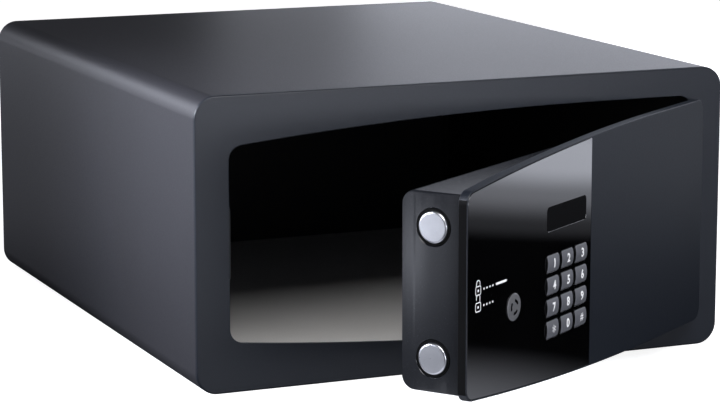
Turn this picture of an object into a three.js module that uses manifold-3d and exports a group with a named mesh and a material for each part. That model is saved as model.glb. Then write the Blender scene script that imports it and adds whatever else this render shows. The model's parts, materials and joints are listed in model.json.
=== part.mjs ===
// Electronic laptop safe: a folded steel case with a flush, arched door that stands open on two
// gooseneck hinges. Behind the door plate a housing holds two motor-driven bolts, an emergency
// lock, the keypad's board and four batteries.
//
// Millimetres. X runs to the right seen from the front, Y into the case and Z up.
// The origin is the middle of the underside of the case.

import * as THREE from 'three';
import { mergeVertices } from 'three/addons/utils/BufferGeometryUtils.js';
import Module from 'manifold-3d';

const wasm = await Module();
wasm.setup();

// General
const SEAT = 0.3; // gap between pieces that touch
const OVERRUN = 3; // how far a cutting body runs past what it cuts
const WELD = 0.0001; // points nearer than this are one point
const QUARTER = Math.PI / 2;
const CORNER_STEPS = 6;
const FINE_STEPS = 2;
const RIM_STEPS = 3;
const ARCH_STEPS = 12;
const ROUND = 28;
const SMALL_ROUND = 16;

// Case
const CASE_W = 395;
const CASE_D = 460;
const CASE_H = 200;
const CASE_R = 15;
const SHEET = 2;
const FRAME_EDGE = 1.2; // chamfer round the front frame
const BACK_FLANGE = 12;
const ANCHOR_R = 5;
const ANCHOR_PITCH = 240;
const BASE_ANCHOR_Y = 60;
const BACK_ANCHOR_RISE = 30; // above the middle of the back
const MAT_T = 3;
const MAT_R = 6;

// Opening of the front frame: flat towards the hinge side, then a long arc that closes in
const SIDE_BAND = 24;
const TOP_BAND = 19.7;
const OPENING_R = 10;
const ARCH_R = 2650;
const ARCH_FLAT = 68.5; // straight stretch at the hinge side

// Door plate
const DOOR_T = 6;
const DOOR_GAP = 1.5;
const HINGE_GAP = 2;
const DOOR_EDGE = 0.6;
const OPEN_ANGLE = THREE.MathUtils.degToRad(35.7);

// Hinges
const HINGE_SET = 14.5; // pivot beyond the opening's edge
const HINGE_DEPTH = 7; // pivot behind the front plane
const HINGE_RISE = 52; // arms above and below mid-height
const PIN_R = 2.5;
const EYE_R = 4.4;
const ARM_T = 4.5;
const ARM_INNER_R = 17.5;
const ARM_W = 9;
const FOOT_T = 2.5;
const FOOT_H = 20;
const WASHER_T = 0.8;
const EAR_T = 2.5;
const EAR_R = 5;
const WEB_D = 16;
const PIN_HEAD_R = 4;
const PIN_HEAD_T = 1.5;

// Lock housing behind the door plate
const HOUSING_SET = 4; // its free end inside the plate's edge
const HOUSING_H = 124.6;
const HOUSING_D = 42;
const HOUSING_T = 1.5;
const HOUSING_R = 9;
const HOUSING_END_R = 2.5; // rounding of its two ends
const HOUSING_GAP = 1.5; // from the hinge arms
const POST_R = 4;
const POST_BORE_R = 1.8;
const POST_INSET_X = 15;
const POST_LEFT_INSET = 56;
const POST_INSET_Z = 12;
const SCREW_R = 1.5;
const SCREW_HEAD_R = 3.4;
const SCREW_HEAD_T = 2;
const SCREW_LEN = 12;

// Bolts, their carriage and drive
const BOLT_R = 10;
const BOLT_SPACING = 81.6;
const BOLT_DEPTH = 25.4; // axis behind the front plane
const BOLT_PROUD = 1.2;
const BOLT_LEN = 30;
const BOLT_EDGE = 1.5;
const BOLT_THROW = 15;
const NECK_R = 4;
const NECK_LEN = 6;
const BUSH_WALL = 1.3;
const BUSH_LEN = 12;
const BUSH_LIP = 2;
const BUSH_LIP_T = 1.5;
const BAR_T = 4;
const BAR_W = 14;
const BAR_END = 8;
const RACK_T = 4;
const RACK_H = 9;
const RACK_PAST = 2.8; // rack still beyond the pinion's middle when the bolts are thrown
const MODULE = 1;
const DEDENDUM_SHARE = 1.25; // root depth, as a share of the module
const PINION_TEETH = 14;
const PINION_T = 5;
const BACKLASH = 0.3;
const PRESSURE_ANGLE = THREE.MathUtils.degToRad(20);
const SHAFT_R = 2;
const PINION_INSET = 80; // from the door's free edge
const GEARBOX_W = 24;
const GEARBOX_H = 30;
const GEARBOX_T = 10;
const MOTOR_R = 6;
const MOTOR_LEN = 18;
const BRACKET_T = 1.5;
const BRACKET_W = 30;
const BRACKET_RISE = 24;
const BRACKET_DROP = 31;
const BRACKET_FOOT = 8;

// Strike behind the frame's free side
const STRIKE_SET = 2.5; // web behind the opening's edge
const STRIKE_T = 2;
const STRIKE_W = 16;
const STRIKE_D = 39;
const STRIKE_H = 128;
const STRIKE_CLEAR = 1.6; // round each bolt
const STOP_H = 48;
const STOP_REACH = 3;

// Control panel
const PANEL_W = 168;
const PANEL_T = 1.2;
const PANEL_RIM = 1;
const KEY_W = 15.8;
const KEY_H = 11;
const KEY_R = 1.2;
const KEY_PITCH_X = 19.8;
const KEY_PITCH_Z = 14.3;
const KEY_EDGE_PROUD = 0.3;
const KEY_CROWN = 1;
const KEY_SOFT = 0.5;
const KEY_FLANGE = 0.8;
const KEY_FLANGE_T = 1.5;
const KEY_TRAVEL = 1;
const KEYPAD_INSET = 132.7; // from the door's free edge
const KEYPAD_DROP = 19.2; // below mid-height
const PAD_MARGIN = 2;
const DISPLAY_W = 54.5;
const DISPLAY_H = 15.1;
const DISPLAY_R = 2.5;
const DISPLAY_INSET = 132.5;
const DISPLAY_RISE = 31;
const DISPLAY_MARGIN = 1.5;
const BOARD_W = 74;
const BOARD_H = 98;
const BOARD_T = 1.6;
const BOARD_RISE = 3;
const CHIP_W = 14;
const CHIP_T = 2.5;

// Emergency lock
const LOCK_INSET = 60.4;
const LOCK_DROP = 16.3;
const LOCK_DISC_R = 8.7;
const LOCK_DISC_T = 0.4;
const LOCK_CROWN = 0.3;
const PLUG_R = 5.5;
const BARREL_R = 7.4;
const BARREL_LEN = 16;
const LOCK_SLOT_R = 4.1;
const LOCK_SLOT_W = 1.8;
const LOCK_SLOT_DEPTH = 1;
const LOCK_SLOT_ANGLE = THREE.MathUtils.degToRad(70);
const LOCK_SLOT_TURN = THREE.MathUtils.degToRad(50); // the first slot's middle
const LOCK_SLOTS = 3;
const DOME_SHARE = 0.75; // the disc's crown half way out
const NUT_R = 11;
const NUT_SIDES = 6;
const NUT_T = 3;
const CAM_T = 2;
const CAM_LEN = 14;
const CAM_TIP_R = 2.5;

// Batteries and their cover
const CELL_R = 7.1;
const CELL_LEN = 49;
const CELL_PITCH = 15.2;
const CELL_COUNT = 4;
const CELL_TIP_R = 2.7;
const CELL_TIP = 1;
const HOLDER_WALL = 1.5;
const HOLDER_FROM_HINGE = 25;
const GUIDE_T = 1;
const COVER_T = 1.6;
const COVER_LAP = 3;
const COVER_RIB = 1.2;
const COVER_RIBS = 5;
const COVER_TRAVEL = 60;
const RAIL_W = 3;
const RAIL_LIP = 1.5;
const RAIL_T = 1.2;

// Places that follow from the sizes
const FRONT = -CASE_D / 2;
const BACK = CASE_D / 2;
const MID_Z = CASE_H / 2;
const FRAME_BACK = FRONT + SHEET;
const OPENING_W = CASE_W - 2 * SIDE_BAND;
const OPENING_H = CASE_H - 2 * TOP_BAND;
const OPENING_LEFT = -OPENING_W / 2;
const OPENING_RIGHT = OPENING_W / 2;
const PIVOT_X = OPENING_RIGHT + HINGE_SET;
const PIVOT_Y = FRONT + HINGE_DEPTH;
const DOOR_LEFT = OPENING_LEFT + DOOR_GAP;
const DOOR_BACK = FRONT + DOOR_T;
const BEHIND_DOOR = DOOR_BACK + SEAT;
const PANEL_RIGHT = DOOR_LEFT + PANEL_W;
const PANEL_BACK = FRONT + PANEL_T;
const HOUSING_LEFT = DOOR_LEFT + HOUSING_SET;
const HOUSING_RIGHT = PIVOT_X - ARM_INNER_R - ARM_W - HOUSING_GAP;
const HOUSING_BACK = DOOR_BACK + HOUSING_D;
const HOUSING_INNER_BACK = HOUSING_BACK - HOUSING_T;
const BOLT_Y = FRONT + BOLT_DEPTH;
const BOLT_FACE = HOUSING_LEFT - BOLT_PROUD;
const BAR_LEFT = BOLT_FACE + BOLT_LEN + SEAT;
const PITCH_R = MODULE * PINION_TEETH / 2;
const PINION_X = DOOR_LEFT + PINION_INSET;
const PINION_Z = MID_Z - PITCH_R;
const KEYPAD_X = DOOR_LEFT + KEYPAD_INSET;
const KEYPAD_Z = MID_Z - KEYPAD_DROP;
const DISPLAY_X = DOOR_LEFT + DISPLAY_INSET;
const DISPLAY_Z = MID_Z + DISPLAY_RISE;
const LOCK_X = DOOR_LEFT + LOCK_INSET;
const LOCK_Z = MID_Z - LOCK_DROP;
const HOLDER_W = CELL_LEN + CELL_TIP + 2 * SEAT + 2 * HOLDER_WALL;
const HOLDER_H = CELL_PITCH * CELL_COUNT + 2 * HOLDER_WALL;
const HOLDER_X = HOUSING_RIGHT - HOLDER_FROM_HINGE - HOLDER_W / 2;

// Finishes
const PAINTED = { color: 0x33363e, roughness: 0.55, metalness: 0.2 };
const PAINTED_CASE = { color: 0x45474d, roughness: 0.45, metalness: 0.25 };
const GLOSS_BLACK = { color: 0x060607, roughness: 0.08, metalness: 0 };
const SMOKED = { color: 0x020203, roughness: 0.05, metalness: 0 };
const BRIGHT_STEEL = { color: 0xd4d6da, roughness: 0.28, metalness: 1 };
const ZINC = { color: 0xa9acb0, roughness: 0.4, metalness: 1 };
const BLACK_PLASTIC = { color: 0x101012, roughness: 0.5, metalness: 0 };
const KEY_GREY = { color: 0x5a5b62, roughness: 0.42, metalness: 0.1 };
const SILICONE = { color: 0x2a2a2d, roughness: 0.8, metalness: 0 };
const BOARD_GREEN = { color: 0x1c5a33, roughness: 0.5, metalness: 0 };
const LOCK_GREY = { color: 0x8e9095, roughness: 0.35, metalness: 0.9 };
const FELT = { color: 0x77736d, roughness: 1, metalness: 0 };
const NYLON = { color: 0xd8d6cc, roughness: 0.6, metalness: 0 };
const CELL_JACKET = { color: 0x6a6d72, roughness: 0.4, metalness: 0.4 };

// Turns a geometry into a solid that can be joined and cut, with its faces outward.
function solidOf(geometry) {
  const bare = geometry.clone();
  bare.deleteAttribute('normal');
  bare.deleteAttribute('uv');
  const merged = mergeVertices(bare, WELD);
  const places = merged.attributes.position;
  const corners = [];
  const [a, b, c] = [new THREE.Vector3(), new THREE.Vector3(), new THREE.Vector3()];
  let volume = 0;
  for (let i = 0; i < merged.index.count; i += 3) {
    const ids = [0, 1, 2].map((k) => merged.index.getX(i + k));
    if (new Set(ids).size < ids.length) continue;
    [a, b, c].forEach((point, k) => point.fromBufferAttribute(places, ids[k]));
    volume += a.dot(b.cross(c));
    corners.push(ids);
  }
  const outward = corners.flatMap((ids) => (volume < 0 ? [ids[0], ids[2], ids[1]] : ids));
  return new wasm.Manifold(new wasm.Mesh({
    numProp: 3,
    vertProperties: new Float32Array(places.array),
    triVerts: new Uint32Array(outward),
  }));
}

// Turns a solid back into a geometry.
function geometryOf(solid) {
  const mesh = solid.getMesh();
  const geometry = new THREE.BufferGeometry();
  const places = new Float32Array(mesh.vertProperties);
  geometry.setAttribute('position', new THREE.BufferAttribute(places, 3));
  geometry.setIndex(new THREE.BufferAttribute(new Uint32Array(mesh.triVerts), 1));
  geometry.computeVertexNormals();
  return geometry;
}

// Adds a solid to a group as a named mesh with a material of its own.
function addPiece(group, name, solid, finish) {
  const mesh = new THREE.Mesh(geometryOf(solid), new THREE.MeshStandardMaterial(finish));
  mesh.name = name;
  group.add(mesh);
}

function joined(solids) {
  return solids.reduce((whole, solid) => whole.add(solid));
}

function cut(solid, tools) {
  return tools.reduce((rest, tool) => rest.subtract(tool), solid);
}

// Points of an arc, from one angle to another.
function arc(x, y, radius, from, to, steps) {
  return Array.from({ length: steps + 1 }, (_, i) => {
    const angle = from + (to - from) * i / steps;
    return new THREE.Vector2(x + radius * Math.cos(angle), y + radius * Math.sin(angle));
  });
}

function roundedRectangle(width, height, radius, x = 0, y = 0, steps = CORNER_STEPS) {
  const dx = width / 2 - radius;
  const dy = height / 2 - radius;
  return [
    ...arc(x + dx, y - dy, radius, -QUARTER, 0, steps),
    ...arc(x + dx, y + dy, radius, 0, QUARTER, steps),
    ...arc(x - dx, y + dy, radius, QUARTER, 2 * QUARTER, steps),
    ...arc(x - dx, y - dy, radius, 2 * QUARTER, 3 * QUARTER, steps),
  ];
}

function circle(x, y, radius, steps = ROUND) {
  return arc(x, y, radius, 0, 4 * QUARTER, steps).slice(0, -1);
}

// Extrudes an outline drawn in X and Y upward.
function extrudeZ(outline, bottom, top) {
  const options = { depth: top - bottom, bevelEnabled: false };
  const geometry = new THREE.ExtrudeGeometry(new THREE.Shape(outline), options);
  geometry.translate(0, 0, bottom);
  return solidOf(geometry);
}

// Extrudes an outline drawn in X and Z from its front plane to its back plane.
function extrudeY(outline, front, back) {
  const options = { depth: back - front, bevelEnabled: false };
  const geometry = new THREE.ExtrudeGeometry(new THREE.Shape(outline), options);
  geometry.rotateX(QUARTER);
  geometry.translate(0, back, 0);
  return solidOf(geometry);
}

// Extrudes an outline drawn in Y and Z from left to right.
function extrudeX(outline, left, right) {
  const options = { depth: right - left, bevelEnabled: false };
  const geometry = new THREE.ExtrudeGeometry(new THREE.Shape(outline), options);
  const turn = new THREE.Matrix4().makeBasis(
    new THREE.Vector3(0, 1, 0),
    new THREE.Vector3(0, 0, 1),
    new THREE.Vector3(1, 0, 0),
  );
  geometry.applyMatrix4(turn);
  geometry.translate(left, 0, 0);
  return solidOf(geometry);
}

function block(left, right, front, back, bottom, top) {
  const geometry = new THREE.BoxGeometry(right - left, back - front, top - bottom);
  geometry.translate((left + right) / 2, (front + back) / 2, (bottom + top) / 2);
  return solidOf(geometry);
}

// A solid through rings of equal outlines, each given as an inset and a distance along the solid.
// outlineAt draws the outline inward by an inset, and placeAt puts a point of it in space.
function ringed(rings, outlineAt, placeAt) {
  const count = outlineAt(0).length;
  const points = rings.flatMap(([inset, along]) => outlineAt(inset).map((p) => placeAt(p, along)));
  const faces = [];
  for (let ring = 0; ring < rings.length - 1; ring += 1) {
    for (let k = 0; k < count; k += 1) {
      const next = (k + 1) % count;
      const near = ring * count;
      const far = near + count;
      faces.push(near + k, far + k, near + next, near + next, far + k, far + next);
    }
  }
  const last = (rings.length - 1) * count;
  for (const [i, j, k] of THREE.ShapeUtils.triangulateShape(outlineAt(rings[0][0]), [])) {
    faces.push(i, j, k);
  }
  for (const [i, j, k] of THREE.ShapeUtils.triangulateShape(outlineAt(rings.at(-1)[0]), [])) {
    faces.push(last + i, last + k, last + j);
  }
  const geometry = new THREE.BufferGeometry();
  geometry.setAttribute('position', new THREE.Float32BufferAttribute(points.flat(), 3));
  geometry.setIndex(faces);
  return solidOf(geometry);
}

// A plate seen from the front whose front rim is chamfered.
function rimmedPlate(outlineAt, front, back, chamfer) {
  const rings = [[chamfer, front], [0, front + chamfer], [0, back]];
  return ringed(rings, outlineAt, (p, y) => [p.x, y, p.y]);
}

// Turns a profile of (radius, distance) points about a line along X, Y or Z.
function turned(profile, axis, place, steps = ROUND) {
  const geometry = new THREE.LatheGeometry(profile.map(([r, d]) => new THREE.Vector2(r, d)), steps);
  if (axis === 'x') geometry.rotateZ(-QUARTER);
  if (axis === 'z') geometry.rotateX(QUARTER);
  geometry.translate(...place);
  return solidOf(geometry);
}

function rod(radius, from, to, axis, place, steps = ROUND) {
  return turned([[0, from], [radius, from], [radius, to], [0, to]], axis, place, steps);
}

function tube(outer, inner, from, to, axis, place, steps = ROUND) {
  const profile = [[inner, from], [outer, from], [outer, to], [inner, to], [inner, from]];
  return turned(profile, axis, place, steps);
}

// Outline of the opening, or of a plate inside it, drawn inward by an inset.
function archOutline(inset, hingeInset = inset) {
  const left = OPENING_LEFT + inset;
  const right = OPENING_RIGHT - hingeInset;
  const half = OPENING_H / 2 - inset;
  const corner = Math.max(OPENING_R - inset, WELD);
  const apex = OPENING_RIGHT - ARCH_FLAT;
  const big = ARCH_R - inset;
  const arcZ = half - big;
  const cornerX = left + corner;
  const rise = Math.sqrt((big - corner) ** 2 - (cornerX - apex) ** 2);
  const meet = Math.atan2(rise, cornerX - apex);
  const upper = [
    ...arc(right - corner, half - corner, corner, 0, QUARTER, CORNER_STEPS),
    ...arc(apex, arcZ, big, QUARTER, meet, ARCH_STEPS),
    ...arc(cornerX, arcZ + rise, corner, meet, 2 * QUARTER, CORNER_STEPS).slice(1),
  ];
  const lower = upper.map((p) => new THREE.Vector2(p.x, -p.y)).reverse();
  return [...upper, ...lower].map((p) => new THREE.Vector2(p.x, MID_Z + p.y));
}

// Outline of the case, drawn inward by an inset.
function caseOutline(inset) {
  return roundedRectangle(CASE_W - 2 * inset, CASE_H - 2 * inset, CASE_R - inset, 0, MID_Z);
}

function addCase(group) {
  const sleeve = extrudeY(caseOutline(0), FRAME_BACK + SEAT, BACK);
  const bore = extrudeY(caseOutline(SHEET), FRONT - OVERRUN, BACK + OVERRUN);
  const places = [-1, 1].map((side) => [side * ANCHOR_PITCH / 2, BASE_ANCHOR_Y, 0]);
  const holes = places.map((p) => rod(ANCHOR_R, -OVERRUN, SHEET + OVERRUN, 'z', p, SMALL_ROUND));
  addPiece(group, 'case_shell', cut(sleeve, [bore, ...holes]), PAINTED_CASE);

  const matW = CASE_W - 2 * CASE_R;
  const matFront = FRAME_BACK + SEAT;
  const matBack = BACK - BACK_FLANGE - SEAT;
  const matZ = SHEET + SEAT;
  const y = (matFront + matBack) / 2;
  const matOutline = roundedRectangle(matW, matBack - matFront, MAT_R, 0, y, FINE_STEPS);
  const mat = extrudeZ(matOutline, matZ, matZ + MAT_T);
  const plugRoom = places.map((p) => rod(2 * ANCHOR_R, 0, CASE_H, 'z', p, SMALL_ROUND));
  addPiece(group, 'floor_mat', cut(mat, plugRoom), FELT);
  places.forEach((p, i) => {
    addPiece(group, `base_anchor_plug_${i + 1}`, anchorPlug('z', p, 1), BLACK_PLASTIC);
  });
}

// A plastic plug that closes an anchor hole from inside. inward is 1 or -1 along the axis.
function anchorPlug(axis, place, inward) {
  const lap = ANCHOR_R + SHEET;
  const neck = ANCHOR_R - SEAT;
  const flange = SHEET + SEAT;
  const profile = [
    [0, SEAT], [neck, SEAT], [neck, flange], [lap, flange], [lap, flange + SHEET],
    [0, flange + SHEET],
  ].map(([r, d]) => [r, inward * d]);
  return turned(profile, axis, place, SMALL_ROUND);
}

function addBackPanel(group) {
  const edge = SHEET + SEAT;
  const pan = extrudeY(caseOutline(edge), BACK - BACK_FLANGE, BACK);
  const hollow = extrudeY(caseOutline(edge + SHEET), BACK - BACK_FLANGE - OVERRUN, BACK - SHEET);
  const places = [-1, 1].map((side) => [side * ANCHOR_PITCH / 2, BACK, MID_Z + BACK_ANCHOR_RISE]);
  const reach = SHEET + OVERRUN;
  const holes = places.map((p) => rod(ANCHOR_R, -reach, OVERRUN, 'y', p, SMALL_ROUND));
  addPiece(group, 'back_panel', cut(pan, [hollow, ...holes]), PAINTED_CASE);
  places.forEach((p, i) => {
    addPiece(group, `back_anchor_plug_${i + 1}`, anchorPlug('y', p, -1), BLACK_PLASTIC);
  });
}

function addFrame(group) {
  const plate = rimmedPlate(caseOutline, FRONT, FRAME_BACK, FRAME_EDGE);
  const opening = extrudeY(archOutline(0), FRONT - OVERRUN, FRAME_BACK + OVERRUN);
  addPiece(group, 'front_frame', plate.subtract(opening), PAINTED);
}

// Angle behind the frame that receives the bolts, with a lip that stops the door plate.
function addStrike(group) {
  const webRight = OPENING_LEFT - STRIKE_SET;
  const webLeft = webRight - STRIKE_T;
  const front = FRAME_BACK + SEAT;
  const flange = front + STRIKE_T;
  const back = front + STRIKE_D;
  const outline = [
    [webRight - STRIKE_W, front], [webRight, front], [webRight, back], [webLeft, back],
    [webLeft, flange], [webRight - STRIKE_W, flange],
  ].map(([x, y]) => new THREE.Vector2(x, y));
  const angle = extrudeZ(outline, MID_Z - STRIKE_H / 2, MID_Z + STRIKE_H / 2);
  const lipRight = OPENING_LEFT + STOP_REACH;
  const lipBack = BEHIND_DOOR + STRIKE_T;
  const low = MID_Z - STOP_H / 2;
  const lip = block(webLeft, lipRight, BEHIND_DOOR, lipBack, low, low + STOP_H);
  const holes = [-1, 1].map((side) => {
    const place = [webLeft, BOLT_Y, MID_Z + side * BOLT_SPACING / 2];
    return rod(BOLT_R + STRIKE_CLEAR, -OVERRUN, STRIKE_T + OVERRUN, 'x', place);
  });
  addPiece(group, 'strike_plate', cut(angle.add(lip), holes), PAINTED);
}

// Clevis brackets on the case's side, each with its pin and a thrust washer under the arm.
function addHingeBrackets(group) {
  const webRight = CASE_W / 2 - SHEET - SEAT;
  const webLeft = webRight - SHEET;
  const webFront = FRAME_BACK + SEAT;
  const webBack = webFront + WEB_D;
  const above = ARM_T / 2 + SEAT;
  const below = above + WASHER_T + SEAT;
  for (const [place, side] of [['upper', 1], ['lower', -1]]) {
    const z = MID_Z + side * HINGE_RISE;
    const [low, high] = [z - below - EAR_T, z + above + EAR_T];
    const web = block(webLeft, webRight, webFront, webBack, low, high);
    const ear = [
      ...arc(PIVOT_X, PIVOT_Y, EAR_R - SEAT, 2 * QUARTER, 3 * QUARTER, CORNER_STEPS),
      new THREE.Vector2(webRight, PIVOT_Y - EAR_R + SEAT),
      new THREE.Vector2(webRight, webBack),
      new THREE.Vector2(PIVOT_X, webBack),
      new THREE.Vector2(PIVOT_X - EAR_R + SEAT, webBack - EAR_R),
    ];
    const ears = [extrudeZ(ear, low, z - below), extrudeZ(ear, z + above, high)];
    const axis = [PIVOT_X, PIVOT_Y, 0];
    const hole = rod(PIN_R + SEAT, low - OVERRUN, high + OVERRUN, 'z', axis, SMALL_ROUND);
    addPiece(group, `hinge_bracket_${place}`, cut(joined([web, ...ears]), [hole]), ZINC);

    const foot = low - SEAT;
    const headBottom = high + SEAT;
    const headTop = headBottom + PIN_HEAD_T;
    const profile = [
      [0, foot], [PIN_R, foot], [PIN_R, headBottom], [PIN_HEAD_R, headBottom],
      [PIN_HEAD_R, headTop], [0, headTop],
    ];
    const pin = turned(profile, 'z', axis, SMALL_ROUND);
    addPiece(group, `hinge_pin_${place}`, pin, BRIGHT_STEEL);

    const seat = z - below + SEAT;
    const washer = tube(EYE_R, PIN_R + SEAT, seat, seat + WASHER_T - SEAT, 'z', axis, SMALL_ROUND);
    addPiece(group, `hinge_washer_${place}`, washer, NYLON);
  }
}

// Gooseneck arms: from the pin, round the frame's edge, and back to the door plate.
function addHingeArms(group) {
  const outer = ARM_INNER_R + ARM_W;
  const legHalf = EYE_R - SEAT / 2;
  const footY = BEHIND_DOOR - PIVOT_Y;
  const outline = [
    ...arc(0, 0, legHalf, 2 * QUARTER, 4 * QUARTER, CORNER_STEPS),
    ...arc(0, 0, outer, Math.acos(legHalf / outer), 2 * QUARTER, ARCH_STEPS),
    new THREE.Vector2(-outer, footY),
    new THREE.Vector2(-ARM_INNER_R, footY),
    ...arc(0, 0, ARM_INNER_R, 2 * QUARTER, Math.acos(-legHalf / ARM_INNER_R), ARCH_STEPS),
  ].map((p) => new THREE.Vector2(PIVOT_X + p.x, PIVOT_Y + p.y));
  for (const [place, side] of [['upper', 1], ['lower', -1]]) {
    const z = MID_Z + side * HINGE_RISE;
    const arm = extrudeZ(outline, z - ARM_T / 2, z + ARM_T / 2);
    const foot = block(
      PIVOT_X - outer,
      PIVOT_X - ARM_INNER_R,
      BEHIND_DOOR,
      BEHIND_DOOR + FOOT_T,
      z - FOOT_H / 2,
      z + FOOT_H / 2,
    );
    const pivot = [PIVOT_X, PIVOT_Y, z];
    const hole = rod(PIN_R + SEAT, -ARM_T, ARM_T, 'z', pivot, SMALL_ROUND);
    addPiece(group, `hinge_arm_${place}`, cut(arm.add(foot), [hole]), ZINC);
  }
}

// Every key's place, row by row from the top.
function keyPlaces() {
  const names = [['1', '2', '3'], ['4', '5', '6'], ['7', '8', '9'], ['star', '0', 'hash']];
  return names.flatMap((row, r) => row.map((name, c) => ({
    name: `key_${name}`,
    x: KEYPAD_X + (c - (row.length - 1) / 2) * KEY_PITCH_X,
    z: KEYPAD_Z + ((names.length - 1) / 2 - r) * KEY_PITCH_Z,
  })));
}

const PAD_W = 3 * KEY_PITCH_X + PAD_MARGIN;
const PAD_H = 4 * KEY_PITCH_Z + PAD_MARGIN;

// Outlines of the cut-out behind the keys, of one key and of the display, grown by a margin.
function padOutline(grow) {
  const radius = KEY_R + PAD_MARGIN + grow;
  return roundedRectangle(
    PAD_W + 2 * grow,
    PAD_H + 2 * grow,
    radius,
    KEYPAD_X,
    KEYPAD_Z,
    FINE_STEPS,
  );
}

function keyOutline(x, z, grow) {
  return roundedRectangle(KEY_W + 2 * grow, KEY_H + 2 * grow, KEY_R + grow, x, z, FINE_STEPS);
}

function displayOutline(grow) {
  return roundedRectangle(
    DISPLAY_W + 2 * grow,
    DISPLAY_H + 2 * grow,
    DISPLAY_R + grow,
    DISPLAY_X,
    DISPLAY_Z,
    FINE_STEPS,
  );
}

function addDoorPlate(group) {
  const outlineAt = (inset) => archOutline(DOOR_GAP + inset, HINGE_GAP + inset);
  const plate = rimmedPlate(outlineAt, FRONT, DOOR_BACK, DOOR_EDGE);
  const panelSide = (edge) => block(-CASE_W, edge, FRONT - OVERRUN, BACK, 0, CASE_H);
  const inside = archOutline(DOOR_GAP + PANEL_RIM);
  const recess = extrudeY(inside, FRONT - OVERRUN, PANEL_BACK).intersect(panelSide(PANEL_RIGHT));
  const through = (outline) => extrudeY(outline, FRONT - OVERRUN, DOOR_BACK + OVERRUN);
  const pad = through(padOutline(0));
  const display = through(displayOutline(DISPLAY_MARGIN));
  const lock = through(circle(LOCK_X, LOCK_Z, BARREL_R + SEAT));
  const posts = postPlaces().map(([x, z]) => {
    const [from, to] = [DOOR_BACK - DOOR_T / 2, HOUSING_INNER_BACK - SEAT];
    return rod(POST_R, from, to, 'y', [x, 0, z], SMALL_ROUND);
  });
  const bores = postPlaces().map(([x, z]) => {
    return rod(POST_BORE_R, DOOR_BACK, HOUSING_BACK, 'y', [x, 0, z], SMALL_ROUND);
  });
  const tools = [recess, pad, display, lock, ...bores];
  addPiece(group, 'door_plate', cut(joined([plate, ...posts]), tools), PAINTED);

  const rim = archOutline(DOOR_GAP + PANEL_RIM + SEAT);
  const sheet = extrudeY(rim, FRONT, PANEL_BACK - SEAT).intersect(panelSide(PANEL_RIGHT - SEAT));
  const keyHoles = keyPlaces().map(({ x, z }) => through(keyOutline(x, z, SEAT)));
  const window = through(displayOutline(SEAT));
  addPiece(group, 'control_panel', cut(sheet, [...keyHoles, window, lock]), GLOSS_BLACK);
}

function addDisplay(group) {
  const lens = extrudeY(displayOutline(0), FRONT, PANEL_BACK);
  addPiece(group, 'display_window', lens, SMOKED);
  const left = DISPLAY_X - DISPLAY_W / 2;
  const low = DISPLAY_Z - DISPLAY_H / 2;
  const front = PANEL_BACK + SEAT;
  const body = block(left, left + DISPLAY_W, front, DOOR_BACK, low, low + DISPLAY_H);
  addPiece(group, 'display_module', body, BLACK_PLASTIC);
}

// A key with a crowned front, rounded side to side, and a retaining flange behind the panel.
function keySolid(x, z) {
  const half = KEY_H / 2;
  const crownR = (half ** 2 + KEY_CROWN ** 2) / (2 * KEY_CROWN);
  const edgeY = FRONT - KEY_EDGE_PROUD;
  const centreY = edgeY - KEY_CROWN + crownR;
  const lean = Math.asin(half / crownR);
  const crown = arc(centreY, z, crownR, 2 * QUARTER - lean, 2 * QUARTER + lean, CORNER_STEPS);
  const flangeFront = PANEL_BACK;
  const profile = [
    ...crown,
    new THREE.Vector2(flangeFront, z - half),
    new THREE.Vector2(flangeFront, z + half),
  ];
  const barrel = extrudeX(profile, x - KEY_W / 2, x + KEY_W / 2);
  const nose = edgeY - KEY_CROWN;
  const outlineAt = (inset) => keyOutline(x, z, -inset);
  const body = barrel.intersect(rimmedPlate(outlineAt, nose, flangeFront + OVERRUN, KEY_SOFT));
  const flangeBack = flangeFront + KEY_FLANGE_T;
  return body.add(extrudeY(keyOutline(x, z, KEY_FLANGE), flangeFront, flangeBack));
}

// The flanged keys, the rubber mat that springs them and the board behind.
function addKeypad(group) {
  for (const { name, x, z } of keyPlaces()) addPiece(group, name, keySolid(x, z), KEY_GREY);
  const matFront = PANEL_BACK + KEY_FLANGE_T + KEY_TRAVEL + SEAT;
  const mat = extrudeY(padOutline(-SEAT), matFront, BEHIND_DOOR - SEAT);
  addPiece(group, 'keypad_mat', mat, SILICONE);

  const boardBack = BEHIND_DOOR + BOARD_T;
  const low = MID_Z - BOARD_H / 2 + BOARD_RISE;
  const left = KEYPAD_X - BOARD_W / 2;
  const board = block(left, left + BOARD_W, BEHIND_DOOR, boardBack, low, low + BOARD_H);
  const chips = [-1, 1].map((side) => {
    const chipZ = MID_Z + side * CHIP_W;
    const chipBack = boardBack + CHIP_T;
    const right = KEYPAD_X + CHIP_W / 2;
    return block(right - CHIP_W, right, boardBack, chipBack, chipZ, chipZ + CHIP_W / 2);
  });
  addPiece(group, 'circuit_board', joined([board, ...chips]), BOARD_GREEN);
}

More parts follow.
